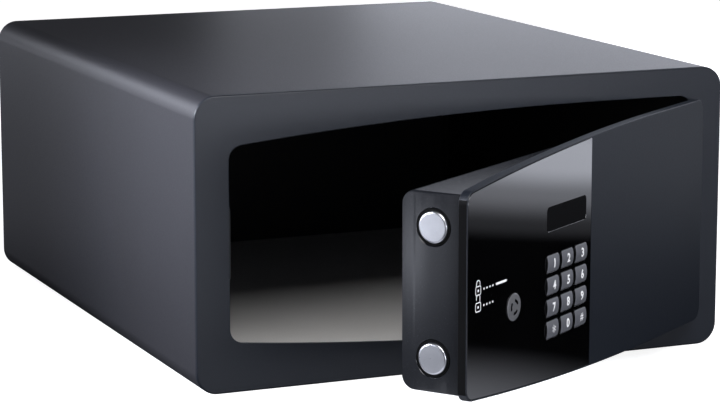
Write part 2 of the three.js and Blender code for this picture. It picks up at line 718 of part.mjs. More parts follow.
// The housing: a channel with rounded rear edges, closed at both ends, whose rims are rounded.
function addHousing(group) {
  const profileAt = (inset, front = BEHIND_DOOR) => {
    const low = MID_Z - HOUSING_H / 2 + inset;
    const high = MID_Z + HOUSING_H / 2 - inset;
    const back = HOUSING_BACK - inset;
    const radius = HOUSING_R - inset;
    return [
      new THREE.Vector2(front, low),
      ...arc(back - radius, low + radius, radius, -QUARTER, 0, CORNER_STEPS),
      ...arc(back - radius, high - radius, radius, 0, QUARTER, CORNER_STEPS),
      new THREE.Vector2(front, high),
    ];
  };
  const rim = arc(HOUSING_END_R, HOUSING_END_R, HOUSING_END_R, 2 * QUARTER, 3 * QUARTER, RIM_STEPS);
  const leftRim = rim.map((p) => [p.x, HOUSING_LEFT + p.y]).reverse();
  const rightRim = rim.map((p) => [p.x, HOUSING_RIGHT - p.y]);
  const outer = ringed([...leftRim, ...rightRim], profileAt, (p, x) => [x, p.x, p.y]);
  const innerLeft = HOUSING_LEFT + HOUSING_T;
  const hollow = profileAt(HOUSING_T, BEHIND_DOOR - OVERRUN);
  const inner = extrudeX(hollow, innerLeft, HOUSING_RIGHT - HOUSING_T);
  const boltHoles = [-1, 1].map((side) => {
    const place = [HOUSING_LEFT, BOLT_Y, MID_Z + side * BOLT_SPACING / 2];
    const radius = BOLT_R + BUSH_WALL + 2 * SEAT;
    return rod(radius, -OVERRUN, HOUSING_T + OVERRUN, 'x', place);
  });
  const bay = batteryBay(HOUSING_INNER_BACK - OVERRUN, HOUSING_BACK + OVERRUN, SEAT);
  const screwHoles = postPlaces().map(([x, z]) => {
    const place = [x, HOUSING_BACK, z];
    return rod(SCREW_R + SEAT, -HOUSING_T - OVERRUN, OVERRUN, 'y', place, SMALL_ROUND);
  });
  const shell = cut(outer, [inner, ...boltHoles, bay, ...screwHoles]);
  addPiece(group, 'door_housing', shell, PAINTED);

  const seat = HOUSING_BACK + SEAT;
  const profile = [
    [0, seat - SCREW_LEN], [SCREW_R, seat - SCREW_LEN], [SCREW_R, seat], [SCREW_HEAD_R, seat],
    [SCREW_HEAD_R, seat + SCREW_HEAD_T / 2], [SCREW_R, seat + SCREW_HEAD_T],
    [0, seat + SCREW_HEAD_T],
  ];
  postPlaces().forEach(([x, z], i) => {
    const screw = turned(profile, 'y', [x, 0, z], SMALL_ROUND);
    addPiece(group, `housing_screw_${i + 1}`, screw, ZINC);
  });
}

// Where the posts on the door plate carry the housing.
function postPlaces() {
  const xs = [HOUSING_LEFT + POST_LEFT_INSET, HOUSING_RIGHT - POST_INSET_X];
  const rise = HOUSING_H / 2 - POST_INSET_Z;
  return xs.flatMap((x) => [MID_Z - rise, MID_Z + rise].map((z) => [x, z]));
}

// The two bolts, their bushes, and the bar and rack that join them.
function addBolts(group, fixed) {
  const tail = BOLT_FACE + BOLT_LEN;
  const zs = { upper: MID_Z + BOLT_SPACING / 2, lower: MID_Z - BOLT_SPACING / 2 };
  for (const [place, z] of Object.entries(zs)) {
    const bolt = turned(
      [
        [0, BOLT_FACE], [BOLT_R - BOLT_EDGE, BOLT_FACE], [BOLT_R, BOLT_FACE + BOLT_EDGE],
        [BOLT_R, tail], [NECK_R, tail], [NECK_R, tail + NECK_LEN], [0, tail + NECK_LEN],
      ],
      'x',
      [0, BOLT_Y, z],
    );
    addPiece(group, `bolt_${place}`, bolt, BRIGHT_STEEL);

    const inner = BOLT_R + SEAT;
    const outer = inner + BUSH_WALL;
    const lipFrom = HOUSING_LEFT + HOUSING_T + SEAT;
    const bush = turned(
      [
        [inner, HOUSING_LEFT], [outer, HOUSING_LEFT], [outer, lipFrom],
        [outer + BUSH_LIP, lipFrom], [outer + BUSH_LIP, lipFrom + BUSH_LIP_T],
        [outer, lipFrom + BUSH_LIP_T], [outer, HOUSING_LEFT + BUSH_LEN],
        [inner, HOUSING_LEFT + BUSH_LEN], [inner, HOUSING_LEFT],
      ],
      'x',
      [0, BOLT_Y, z],
    );
    addPiece(fixed, `bolt_bush_${place}`, bush, BLACK_PLASTIC);
  }
  const barFront = BOLT_Y - BAR_W / 2;
  const barHalf = BOLT_SPACING / 2 + BAR_END;
  const barRight = BAR_LEFT + BAR_T;
  const bar = block(
    BAR_LEFT,
    barRight,
    barFront,
    barFront + BAR_W,
    MID_Z - barHalf,
    MID_Z + barHalf,
  );
  const holes = Object.values(zs).map((z) => {
    const place = [BAR_LEFT, BOLT_Y, z];
    return rod(NECK_R + SEAT, -OVERRUN, BAR_T + OVERRUN, 'x', place, SMALL_ROUND);
  });
  const rack = extrudeY(rackOutline(barRight), BOLT_Y - RACK_T / 2, BOLT_Y + RACK_T / 2);
  addPiece(group, 'bolt_carriage', cut(bar, holes).add(rack), ZINC);
}

// Rack with its teeth downward, one of them above the pinion's centre at rest.
function rackOutline(left) {
  const pitch = Math.PI * MODULE;
  const right = PINION_X + BOLT_THROW + RACK_PAST;
  const slope = Math.tan(PRESSURE_ANGLE);
  const atPitch = pitch / 4 - BACKLASH / 2;
  const tip = MODULE;
  const root = MODULE * DEDENDUM_SHARE;
  const tipHalf = atPitch - tip * slope;
  const rootHalf = atPitch + root * slope;
  const points = [];
  const before = Math.floor((PINION_X - left - rootHalf - BAR_T) / pitch);
  const after = Math.floor((right - PINION_X - rootHalf) / pitch);
  for (let k = -before; k <= after; k += 1) {
    const x = PINION_X + k * pitch;
    points.push([x - rootHalf, root], [x - tipHalf, -tip], [x + tipHalf, -tip], [x + rootHalf, root]);
  }
  const outline = [[left - BAR_T / 2, root], ...points, [right, root]];
  outline.push([right, root + RACK_H], [left - BAR_T / 2, root + RACK_H]);
  return outline.map(([x, z]) => new THREE.Vector2(x, MID_Z + z));
}

// Involute pinion with a gap at the top, so that it is in mesh with the rack at rest.
function pinionOutline() {
  const base = PITCH_R * Math.cos(PRESSURE_ANGLE);
  const outer = PITCH_R + MODULE;
  const root = PITCH_R - MODULE * DEDENDUM_SHARE;
  const involute = (radius) => {
    const angle = Math.acos(Math.min(1, base / radius));
    return Math.tan(angle) - angle;
  };
  const halfAtPitch = (Math.PI * MODULE / 4 - BACKLASH / 2) / PITCH_R;
  const halfAt = (radius) => halfAtPitch + involute(PITCH_R) - involute(radius);
  const radii = Array.from({ length: FINE_STEPS + 1 }, (_, i) => base + (outer - base) * i / FINE_STEPS);
  const turn = 4 * QUARTER / PINION_TEETH;
  const points = [];
  for (let tooth = 0; tooth < PINION_TEETH; tooth += 1) {
    const middle = QUARTER + (tooth + 1 / 2) * turn;
    const flank = [[root, halfAt(base)], ...radii.map((r) => [r, halfAt(r)])];
    for (const [r, half] of flank) points.push([r, middle - half]);
    for (const [r, half] of flank.reverse()) points.push([r, middle + half]);
  }
  return points.map(([r, angle]) => new THREE.Vector2(
    PINION_X + r * Math.cos(angle),
    PINION_Z + r * Math.sin(angle),
  ));
}

const BRACKET_FRONT = BOLT_Y + PINION_T / 2 + 2 * SEAT;
const BRACKET_BACK = BRACKET_FRONT + BRACKET_T;

function addDrive(pinionGroup, fixed) {
  const teeth = extrudeY(pinionOutline(), BOLT_Y - PINION_T / 2, BOLT_Y + PINION_T / 2);
  const centre = [PINION_X, 0, PINION_Z];
  const shaftEnd = BRACKET_BACK + GEARBOX_T / 2;
  const shaft = rod(SHAFT_R, BOLT_Y, shaftEnd, 'y', centre, SMALL_ROUND);
  addPiece(pinionGroup, 'drive_pinion', teeth.add(shaft), ZINC);

  const left = PINION_X - BRACKET_W / 2;
  const right = left + BRACKET_W;
  const low = PINION_Z - BRACKET_DROP;
  const high = PINION_Z + BRACKET_RISE;
  const lowInner = low + BRACKET_T;
  const highInner = high - BRACKET_T;
  const footBack = BEHIND_DOOR + BRACKET_T;
  const plate = block(left, right, BRACKET_FRONT, BRACKET_BACK, low, high);
  const legs = [[low, lowInner], [highInner, high]]
    .map(([z0, z1]) => block(left, right, BEHIND_DOOR, BRACKET_BACK, z0, z1));
  const feet = [[low - BRACKET_FOOT, lowInner], [highInner, high + BRACKET_FOOT]]
    .map(([z0, z1]) => block(left, right, BEHIND_DOOR, footBack, z0, z1));
  const hole = rod(SHAFT_R + SEAT, BRACKET_FRONT - OVERRUN, BRACKET_BACK + OVERRUN, 'y', centre);
  addPiece(fixed, 'motor_bracket', cut(joined([plate, ...legs, ...feet]), [hole]), ZINC);

  const boxFront = BRACKET_BACK + SEAT;
  const boxTop = PINION_Z + GEARBOX_W / 2;
  const boxLow = boxTop - GEARBOX_H;
  const boxLeft = PINION_X - GEARBOX_W / 2;
  const box = block(boxLeft, boxLeft + GEARBOX_W, boxFront, boxFront + GEARBOX_T, boxLow, boxTop);
  const canY = boxFront + MOTOR_R + SEAT;
  const can = rod(MOTOR_R, boxLow - MOTOR_LEN, boxLow + SEAT, 'z', [PINION_X, canY, 0], SMALL_ROUND);
  const bore = rod(SHAFT_R + SEAT, boxFront - OVERRUN, shaftEnd + SEAT, 'y', centre, SMALL_ROUND);
  addPiece(fixed, 'gear_motor', cut(box.add(can), [bore]), BLACK_PLASTIC);
}

// The emergency lock: a turning plug with a three-slot face, its barrel, nut and cam.
function addLock(turning, fixed) {
  const centre = [LOCK_X, 0, LOCK_Z];
  const discBack = FRONT - SEAT;
  const discFront = discBack - LOCK_DISC_T;
  const barrelBack = FRONT + BARREL_LEN;
  const plugBack = barrelBack + SEAT + CAM_T;
  const face = [
    [0, discFront - LOCK_CROWN], [LOCK_DISC_R / 2, discFront - LOCK_CROWN * DOME_SHARE],
    [LOCK_DISC_R - LOCK_CROWN, discFront], [LOCK_DISC_R, discFront + LOCK_CROWN],
    [LOCK_DISC_R, discBack], [PLUG_R, discBack], [PLUG_R, barrelBack], [PLUG_R / 2, barrelBack],
    [PLUG_R / 2, plugBack], [0, plugBack],
  ];
  const slots = Array.from({ length: LOCK_SLOTS }, (_, i) => {
    const middle = LOCK_SLOT_TURN + 4 * QUARTER * i / LOCK_SLOTS;
    const [from, to] = [middle - LOCK_SLOT_ANGLE / 2, middle + LOCK_SLOT_ANGLE / 2];
    const outer = LOCK_SLOT_R + LOCK_SLOT_W / 2;
    const inner = LOCK_SLOT_R - LOCK_SLOT_W / 2;
    const outline = [
      ...arc(LOCK_X, LOCK_Z, outer, from, to, CORNER_STEPS),
      ...arc(LOCK_X, LOCK_Z, inner, to, from, CORNER_STEPS),
    ];
    return extrudeY(outline, discFront - OVERRUN, discFront + LOCK_SLOT_DEPTH);
  });
  addPiece(turning, 'lock_plug', cut(turned(face, 'y', centre), slots), LOCK_GREY);

  const camFront = barrelBack + SEAT;
  const hub = PLUG_R;
  const camOutline = [
    ...arc(LOCK_X, LOCK_Z, hub, QUARTER, 3 * QUARTER, CORNER_STEPS),
    ...arc(LOCK_X + CAM_LEN - CAM_TIP_R, LOCK_Z, CAM_TIP_R, -QUARTER, QUARTER, CORNER_STEPS),
  ];
  const cam = extrudeY(camOutline, camFront, camFront + CAM_T);
  const hubHole = rod(PLUG_R / 2 + SEAT, camFront - OVERRUN, camFront + OVERRUN, 'y', centre);
  addPiece(turning, 'lock_cam', cut(cam, [hubHole]), ZINC);

  const barrel = tube(BARREL_R, PLUG_R + SEAT, FRONT, barrelBack - SEAT, 'y', centre);
  addPiece(fixed, 'lock_barrel', barrel, ZINC);
  const nutOutline = circle(LOCK_X, LOCK_Z, NUT_R, NUT_SIDES);
  const nut = extrudeY(nutOutline, BEHIND_DOOR, BEHIND_DOOR + NUT_T);
  const room = rod(BARREL_R + SEAT, BEHIND_DOOR - OVERRUN, BEHIND_DOOR + NUT_T + OVERRUN, 'y', centre);
  addPiece(fixed, 'lock_nut', cut(nut, [room]), ZINC);
}

// Block the size of the battery bay, between two planes, grown by a margin.
function batteryBay(front, back, margin) {
  const halfW = HOLDER_W / 2 + margin;
  const halfH = HOLDER_H / 2 + margin;
  return block(HOLDER_X - halfW, HOLDER_X + halfW, front, back, MID_Z - halfH, MID_Z + halfH);
}

// Four cells across in a tray that opens through the housing's back.
function addBatteries(group) {
  const back = HOUSING_BACK;
  const cellY = back - CELL_R - SEAT;
  const trayFront = cellY - CELL_R - SEAT - HOLDER_WALL;
  const length = CELL_LEN + CELL_TIP + 2 * SEAT;
  const left = HOLDER_X - length / 2;
  const low = MID_Z - CELL_COUNT * CELL_PITCH / 2;
  const zs = Array.from({ length: CELL_COUNT }, (_, i) => low + (i + 1 / 2) * CELL_PITCH);
  const troughs = zs.map((z) => {
    const round = rod(CELL_R + SEAT, left, left + length, 'x', [0, cellY, z], SMALL_ROUND);
    const half = CELL_R + SEAT;
    return round.add(block(left, left + length, cellY, back + OVERRUN, z - half, z + half));
  });
  addPiece(group, 'battery_holder', cut(batteryBay(trayFront, back, 0), troughs), BLACK_PLASTIC);
  zs.forEach((z, i) => {
    const flip = i % 2 === 0 ? 1 : -1;
    const tip = CELL_LEN / 2 + CELL_TIP / 2;
    const foot = tip - CELL_TIP - CELL_LEN;
    const profile = [
      [0, flip * foot], [CELL_R, flip * foot], [CELL_R, flip * (foot + CELL_LEN)],
      [CELL_TIP_R, flip * (foot + CELL_LEN)], [CELL_TIP_R, flip * tip], [0, flip * tip],
    ];
    const cell = turned(profile, 'x', [HOLDER_X, cellY, z], SMALL_ROUND);
    addPiece(group, `battery_${i + 1}`, cell, CELL_JACKET);
  });
}

// The sliding battery cover, and the guide round the bay whose two rails hold it.
function addBatteryCover(sliding, fixed) {
  const guideFront = HOUSING_BACK + SEAT;
  const guideBack = guideFront + GUIDE_T;
  const front = guideBack + SEAT;
  const back = front + COVER_T;
  const halfW = HOLDER_W / 2 + COVER_LAP;
  const halfH = HOLDER_H / 2 + COVER_LAP;
  const [left, right] = [HOLDER_X - halfW, HOLDER_X + halfW];
  const lid = block(left, right, front, back, MID_Z - halfH, MID_Z + halfH);
  const ribs = Array.from({ length: COVER_RIBS }, (_, i) => {
    const x = left + COVER_LAP * (i + 1);
    const half = HOLDER_H / 4;
    return block(x, x + COVER_RIB, back - SEAT, back + COVER_RIB, MID_Z - half, MID_Z + half);
  });
  addPiece(sliding, 'battery_cover', joined([lid, ...ribs]), BLACK_PLASTIC);

  const rails = [-1, 1].map((side) => {
    const wall = MID_Z + side * (halfH + SEAT);
    const outside = wall + side * RAIL_W;
    const lip = wall - side * RAIL_LIP;
    const lipFront = back + SEAT;
    const outline = [
      [guideFront, wall], [guideFront, outside], [lipFront + RAIL_T, outside],
      [lipFront + RAIL_T, lip], [lipFront, lip], [lipFront, wall],
    ].map(([y, z]) => new THREE.Vector2(y, z));
    return extrudeX(outline, left - COVER_TRAVEL, right);
  });
  const reach = halfH + SEAT + RAIL_W / 2;
  const sheet = block(
    left - COVER_TRAVEL,
    right,
    guideFront,
    guideBack,
    MID_Z - reach,
    MID_Z + reach,
  );
  const bay = batteryBay(guideFront - OVERRUN, guideBack + OVERRUN, SEAT);
  addPiece(fixed, 'cover_guide', cut(joined([sheet, ...rails]), [bay]), BLACK_PLASTIC);
}

const safe = new THREE.Group();
safe.name = 'laptop_safe';
addCase(safe);
addBackPanel(safe);
addFrame(safe);
addStrike(safe);
addHingeBrackets(safe);

// The door's pieces are drawn closed, and the door is then turned open about its pins.
const door = new THREE.Group();
door.position.set(-PIVOT_X, -PIVOT_Y, 0);
const doorSwing = new THREE.Group();
doorSwing.position.set(PIVOT_X, PIVOT_Y, 0);
doorSwing.rotation.z = OPEN_ANGLE;
doorSwing.add(door);
safe.add(doorSwing);

const bolts = new THREE.Group();
const pinion = new THREE.Group();
const lock = new THREE.Group();
const cover = new THREE.Group();
door.add(bolts, pinion, lock, cover);
addDoorPlate(door);
addDisplay(door);
addKeypad(door);
addHingeArms(door);
addHousing(door);
addBolts(bolts, door);
addDrive(pinion, door);
addLock(lock, door);
addBatteries(door);
addBatteryCover(cover, door);

export default safe;
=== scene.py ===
# Looks of an electronic laptop safe whose arched door stands open.
# Metres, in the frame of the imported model: X to the right, Y into the case, Z up.
# Door pieces are modelled closed and then turned open about the hinge pins.

import json
import math

import bmesh
import bpy
from mathutils import Matrix, Vector
from mathutils.geometry import tessellate_polygon


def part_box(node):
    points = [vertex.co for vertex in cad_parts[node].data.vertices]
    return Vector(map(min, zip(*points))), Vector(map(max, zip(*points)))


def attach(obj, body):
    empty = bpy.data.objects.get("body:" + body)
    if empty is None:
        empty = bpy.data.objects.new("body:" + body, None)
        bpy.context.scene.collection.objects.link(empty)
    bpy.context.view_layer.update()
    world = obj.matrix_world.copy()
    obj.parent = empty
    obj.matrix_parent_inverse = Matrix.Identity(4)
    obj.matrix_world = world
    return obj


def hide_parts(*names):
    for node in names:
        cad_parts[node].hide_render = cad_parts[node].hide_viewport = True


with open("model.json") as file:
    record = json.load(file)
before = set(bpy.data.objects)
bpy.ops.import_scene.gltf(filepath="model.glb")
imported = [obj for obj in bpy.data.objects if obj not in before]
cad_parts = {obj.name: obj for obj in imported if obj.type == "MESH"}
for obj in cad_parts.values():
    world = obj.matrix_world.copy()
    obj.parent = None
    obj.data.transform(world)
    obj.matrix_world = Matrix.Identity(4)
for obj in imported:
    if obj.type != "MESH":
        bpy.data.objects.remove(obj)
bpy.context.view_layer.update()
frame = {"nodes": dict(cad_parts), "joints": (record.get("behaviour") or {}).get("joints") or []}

# Case and opening
MM = 0.001
SEAT = 0.3 * MM
SHEET = 2 * MM
CASE_R = 15 * MM
FRAME_EDGE = 1.2 * MM
SIDE_BAND = 24 * MM
TOP_BAND = 19.7 * MM
OPENING_R = 10 * MM
OPENING_EDGE = 0.45 * MM
ARCH_R = 2650 * MM
ARCH_FLAT = 68.5 * MM
SHELL_EDGE = 0.4 * MM
ANCHOR_HOLE_R = 5 * MM
REAR_FOLD = 1.6 * MM
MAT_R = 6 * MM
MAT_EDGE = 0.8 * MM

# Door
DOOR_GAP = 1.5 * MM
HINGE_GAP = 2 * MM
DOOR_EDGE = 0.6 * MM
DOOR_BACK_EDGE = 0.3 * MM
PANEL_RIM = 1 * MM
PANEL_EDGE = 0.25 * MM
PANEL_DEPTH = 1.2 * MM
PAD_MARGIN = 2 * MM
KEY_R = 1.2 * MM
KEY_SOFT = 0.5 * MM
KEY_CROWN = 1 * MM
KEY_FLANGE = 0.8 * MM
KEY_INNER_R = 0.12 * MM
KEY_RINGS = (0.2, 0.32, 0.45, 0.6, 0.75, 0.88)
DISPLAY_R = 2.5 * MM
DISPLAY_MARGIN = 1.5 * MM
DISPLAY_EDGE = 0.15 * MM
HOUSING_R = 9 * MM
HOUSING_WALL = 1.5 * MM
HOUSING_END_R = 2.5 * MM
HOUSING_BOW = 1.5 * MM
POST_R = 4 * MM
BOLT_RIM = 1.5 * MM
BOLT_NECK_R = 4 * MM
BOLT_NECK_L = 6 * MM
BUSH_WALL = 1.3 * MM
BUSH_RECESS = 0.2 * MM
BUSH_EDGE = 0.3 * MM
BUSH_COLLAR = 2 * MM
BUSH_MOUTH = 0.5 * MM
LOCK_SLOT_R = 4.1 * MM
LOCK_SLOT_W = 1.8 * MM
LOCK_SLOT_DEPTH = 1 * MM
LOCK_SLOT_ANGLE = math.radians(70)
LOCK_SLOT_TURN = math.radians(50)
LOCK_SLOTS = 3
LOCK_RIM = 0.3 * MM
LOCK_EDGE = 0.25 * MM
LOCK_SHAFT_R = 5.5 * MM
LOCK_RINGS = 12
TIP_R = 0.05 * MM
SCREW_SHANK_R = 1.5 * MM
SCREW_HEAD_H = 2 * MM
CROSS_REACH = 1.9 * MM
CROSS_HALF_W = 0.4 * MM
CROSS_DEPTH = 1 * MM
LID_SHEET = 1.6 * MM
LID_R = 2 * MM
LID_EDGE = 0.2 * MM
LID_BACK_EDGE = 0.5 * MM
RIBS = 5
RIB_PITCH = 3 * MM
RIB_W = 1.2 * MM
RIB_R = 0.58 * MM
RIB_EDGE = 0.4 * MM

# Prints
PRINT_RISE = 0.05 * MM
DIGIT_H = 6 * MM
DIGIT_SHIFT = 1.1 * MM
DIGIT_WEIGHT = 0.03
SYMBOL_H = 5.2 * MM
PADLOCK_W = 7 * MM
PADLOCK_H = 6 * MM
PADLOCK_R = 1.6 * MM
PADLOCK_LINE = 0.6 * MM
PADLOCK_HOLE = 0.9 * MM
SHACKLE_R = 2.5 * MM
SHACKLE_LEG = 1.2 * MM
SHACKLE_LIFT = 1.4 * MM
DOT_R = 0.75 * MM
DOT_PITCH = 3.8 * MM
DOTS = 4
BAR_W = 14 * MM
BAR_R = 0.9 * DOT_R
PADLOCK_INSET = 13.3 * MM
CLOSED_PADLOCK_Z = 102.5 * MM
OPEN_PADLOCK_Z = 92.3 * MM

# Fineness, and small distances for cutting, merging and softening
CORNER_STEPS = 14
KEY_PARTS = 10
ARCH_STEPS = 48
ROUND = 96
EDGE_STEPS = 4
SHARP = math.radians(35)
QUARTER = math.pi / 2
OVERRUN = 3 * MM
MERGE = 1e-7
LEGEND_SLICES = 12
LEGEND_MERGE = 1e-6
WELD_REACH = 0.002 * MM
SOFT_EDGE = 0.15 * MM

# Shares of a face's normal along an axis that tell walls from fronts
WALL_SHARE = 0.3
END_SHARE = 0.9
FLAT_SHARE = 0.999

# Camera, as the photograph's frame of 720 by 403 sees the object
CAMERA_PLACE = (-0.79207, -1.88542, 0.4551)
CAMERA_YAW = math.radians(23.273)
CAMERA_PITCH = math.radians(10.445)
FOCAL_PIXELS = 2733.27
FRAME_PIXELS = 720
SENSOR = 36
CLIP_NEAR = 0.05
CLIP_FAR = 50

nodes = frame["nodes"]
swing = next(j for j in frame["joints"] if j["name"] == "door_swing")
pivot = Vector(swing["pos_m"])
OPEN_ANGLE = -math.radians(swing["range_deg"][0])
OPENED = (
    Matrix.Translation(pivot)
    @ Matrix.Rotation(OPEN_ANGLE, 4, "Z")
    @ Matrix.Translation(-pivot)
)
CLOSED = OPENED.inverted()


def closed_box(name):
    """Lowest and highest corner of a door node, as it stands when the door is closed."""
    points = [CLOSED @ v.co for v in nodes[name].data.vertices]
    low = Vector(min(p[k] for p in points) for k in range(3))
    high = Vector(max(p[k] for p in points) for k in range(3))
    return low, high


def middle_of(low, high):
    return (low + high) / 2


shell_low, shell_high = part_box("case_shell")
front_low, front_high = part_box("front_frame")
FRONT = front_low.y
BACK = shell_high.y
CASE_W = shell_high.x - shell_low.x
CASE_H = shell_high.z - shell_low.z
MID_Z = CASE_H / 2
OPENING_RIGHT = CASE_W / 2 - SIDE_BAND
OPENING_LEFT = -OPENING_RIGHT
OPENING_HALF = MID_Z - TOP_BAND


# Outlines


def arc(x, y, radius, start, end, steps=CORNER_STEPS):
    return [
        (x + radius * math.cos(a), y + radius * math.sin(a))
        for a in (start + (end - start) * k / steps for k in range(steps + 1))
    ]


def rounded(width, height, radius, x=0.0, y=0.0, steps=CORNER_STEPS, parts=1):
    """A rectangle with round corners, whose straight sides are divided in equal parts."""
    dx = width / 2 - radius
    dy = height / 2 - radius
    corners = [(x + dx, y - dy), (x + dx, y + dy), (x - dx, y + dy), (x - dx, y - dy)]
    outline = []
    for k, corner in enumerate(corners):
        outline += arc(*corner, radius, (k - 1) * QUARTER, k * QUARTER, steps)
        end = Vector(outline[-1])
        run = Vector(corners[(k + 1) % 4]) - Vector(corner)
        outline += [tuple(end + run * j / parts) for j in range(1, parts)]
    return outline


def circle(x, y, radius, steps=ROUND):
    return arc(x, y, radius, 0, 4 * QUARTER, steps)[:-1]


def at_depth(outline, y):
    """An outline's (x, z) pairs as points at one depth."""
    return [(x, y, z) for x, z in outline]


def case_outline(inset):
    return rounded(CASE_W - 2 * inset, CASE_H - 2 * inset, CASE_R - inset, 0, MID_Z)


def arch(inset, hinge_inset=None, right=None):
    """The opening's outline drawn inward by an inset, whole or only up to a line at right."""
    hinge_inset = inset if hinge_inset is None else hinge_inset
    half = OPENING_HALF - inset
    corner = OPENING_R - inset
    apex = OPENING_RIGHT - ARCH_FLAT
    big = ARCH_R - inset
    centre_z = half - big
    corner_x = OPENING_LEFT + inset + corner
    rise = math.sqrt((big - corner) ** 2 - (corner_x - apex) ** 2)
    meet = math.atan2(rise, corner_x - apex)
    if right is None:
        edge = OPENING_RIGHT - hinge_inset
        upper = arc(edge - corner, half - corner, corner, 0, QUARTER)
        upper += arc(apex, centre_z, big, QUARTER, meet, ARCH_STEPS)
    else:
        start = math.acos((right - apex) / big)
        upper = arc(apex, centre_z, big, start, meet, ARCH_STEPS)
    upper += arc(corner_x, centre_z + rise, corner, meet, 2 * QUARTER)[1:]
    lower = [(x, -z) for x, z in reversed(upper)]
    return [(x, MID_Z + z) for x, z in upper + lower]


# Meshes


def shown(name, mesh, material, matrix=Matrix.Identity(4)):
    """A shown object from a mesh, smooth but for its sharp edges."""
    mesh.shade_smooth()
    mesh.set_sharp_from_angle(angle=SHARP)
    piece = bpy.data.objects.new(name, mesh)
    bpy.context.scene.collection.objects.link(piece)
    piece.matrix_world = matrix
    mesh.materials.append(material)
    even = piece.modifiers.new("even", "WEIGHTED_NORMAL")
    even.keep_sharp = True
    bpy.context.view_layer.update()
    return piece


def paint(piece, material, choose):
    """A second material on the faces that are chosen by their middle and normal; each use here lays
    painted shade.
    """
    mesh = piece.data
    mesh.materials.append(material)
    for face in mesh.polygons:
        if choose(face.center, face.normal):
            face.material_index = len(mesh.materials) - 1
    return piece


def solid_mesh(points, faces):
    """A closed mesh with its faces pointing out."""
    mesh = bpy.data.meshes.new("mesh")
    mesh.from_pydata([Vector(p) for p in points], [], faces)
    shape = bmesh.new()
    shape.from_mesh(mesh)
    bmesh.ops.remove_doubles(shape, verts=shape.verts, dist=MERGE)
    bmesh.ops.dissolve_degenerate(shape, edges=shape.edges, dist=MERGE)
    bmesh.ops.recalc_face_normals(shape, faces=shape.faces)
    shape.to_mesh(mesh)
    shape.free()
    return mesh


def walls(first, count, rings, around=True):
    """Quads between successive rings of count points that start at index first."""
    last = count if around else count - 1
    return [
        (a + k, a + (k + 1) % count, a + count + (k + 1) % count, a + count + k)
        for a in (first + ring * count for ring in range(rings - 1))
        for k in range(last)
    ]


def rim(edge, steps=EDGE_STEPS):
    """(inset, depth) pairs of a rounded rim, from the face to the wall."""
    if edge == 0:
        return [(0.0, 0.0)]
    turns = [QUARTER * k / steps for k in range(steps + 1)]
    return [(edge * (1 - math.sin(a)), edge * (1 - math.cos(a))) for a in turns]


def plate(outer, holes, front, back, edge=0.0, hole_edge=0.0, back_edge=0.0):
    """A plate across Y. outer and holes draw their outline by an inset into the material."""
    points, faces, fronts, backs = [], [], [], []
    loops = [(outer, edge)] + [(hole, hole_edge) for hole in holes]
    for outline_at, rounding in loops:
        rings = [(inset, front + depth) for inset, depth in rim(rounding)]
        rings += [(inset, back - depth) for inset, depth in reversed(rim(back_edge))]
        count = len(outline_at(0))
        first = len(points)
        for inset, y in rings:
            points += at_depth(outline_at(inset), y)
        faces += walls(first, count, len(rings))
        fronts.append(range(first, first + count))
        last = first + (len(rings) - 1) * count
        backs.append(range(last, last + count))
    for caps in (fronts, backs):
        ids = [i for loop in caps for i in loop]
        outlines = [[Vector((points[i][0], points[i][2], 0)) for i in loop] for loop in caps]
        faces += [tuple(ids[k] for k in face) for face in tessellate_polygon(outlines)]
    return solid_mesh(points, faces)


def prism(outline, front, back):
    return plate(lambda inset: outline, [], front, back)


def ringed(rings):
    """A closed mesh through rings of equally many points, capped at both ends."""
    count = len(rings[0])
    points = [p for ring in rings for p in ring]
    last = (len(rings) - 1) * count
    faces = walls(0, count, len(rings))
    faces += [tuple(range(count)), tuple(range(last, last + count))]
    return solid_mesh(points, faces)


def turned(profile, axis, place, steps=ROUND):
    """A profile of (radius, distance) pairs turned about a line along x, y or z."""
    place = Vector(place)
    across = {"x": ("y", "z"), "y": ("z", "x"), "z": ("x", "y")}[axis]
    along = Vector([float(c == axis) for c in "xyz"])
    side = Vector([float(c == across[0]) for c in "xyz"])
    up = Vector([float(c == across[1]) for c in "xyz"])
    rings = []
    for radius, distance in profile:
        spot = place + along * distance
        turns = [4 * QUARTER * k / steps for k in range(steps)]
        rings.append([spot + radius * (side * math.cos(a) + up * math.sin(a)) for a in turns])
    return ringed(rings)


def tube(profile, place, steps=ROUND):
    """A closed profile turned about a line along x."""
    points = []
    for k in range(steps):
        a = 4 * QUARTER * k / steps
        points += [
            (place[0] + x, place[1] + r * math.cos(a), place[2] + r * math.sin(a))
            for r, x in profile
        ]
    count = len(profile)
    total = len(points)
    faces = [
        (
            ring * count + k,
            ring * count + (k + 1) % count,
            ((ring + 1) * count + (k + 1) % count) % total,
            ((ring + 1) * count + k) % total,
        )
        for ring in range(steps)
        for k in range(count)
    ]
    return solid_mesh(points, faces)


def bar(low, high):
    """A plain box between two corners, for cutting."""
    outline = [(low[0], low[2]), (high[0], low[2]), (high[0], high[2]), (low[0], high[2])]
    return prism(outline, low[1], high[1])


def boolean(mesh, tools, operation="DIFFERENCE"):
    """mesh cut by, or joined with, each of the tools."""
    scene = bpy.context.scene
    body = bpy.data.objects.new("body", mesh)
    scene.collection.objects.link(body)
    cutters = []
    for tool in tools:
        cutter = bpy.data.objects.new("cutter", tool)
        scene.collection.objects.link(cutter)
        modifier = body.modifiers.new("cut", "BOOLEAN")
        modifier.operation = operation
        modifier.solver = "EXACT"
        modifier.object = cutter
        cutters.append(cutter)
    depsgraph = bpy.context.evaluated_depsgraph_get()
    result = bpy.data.meshes.new_from_object(body.evaluated_get(depsgraph))
    for spent in [body, *cutters]:
        bpy.data.objects.remove(spent)
    return result


# Materials


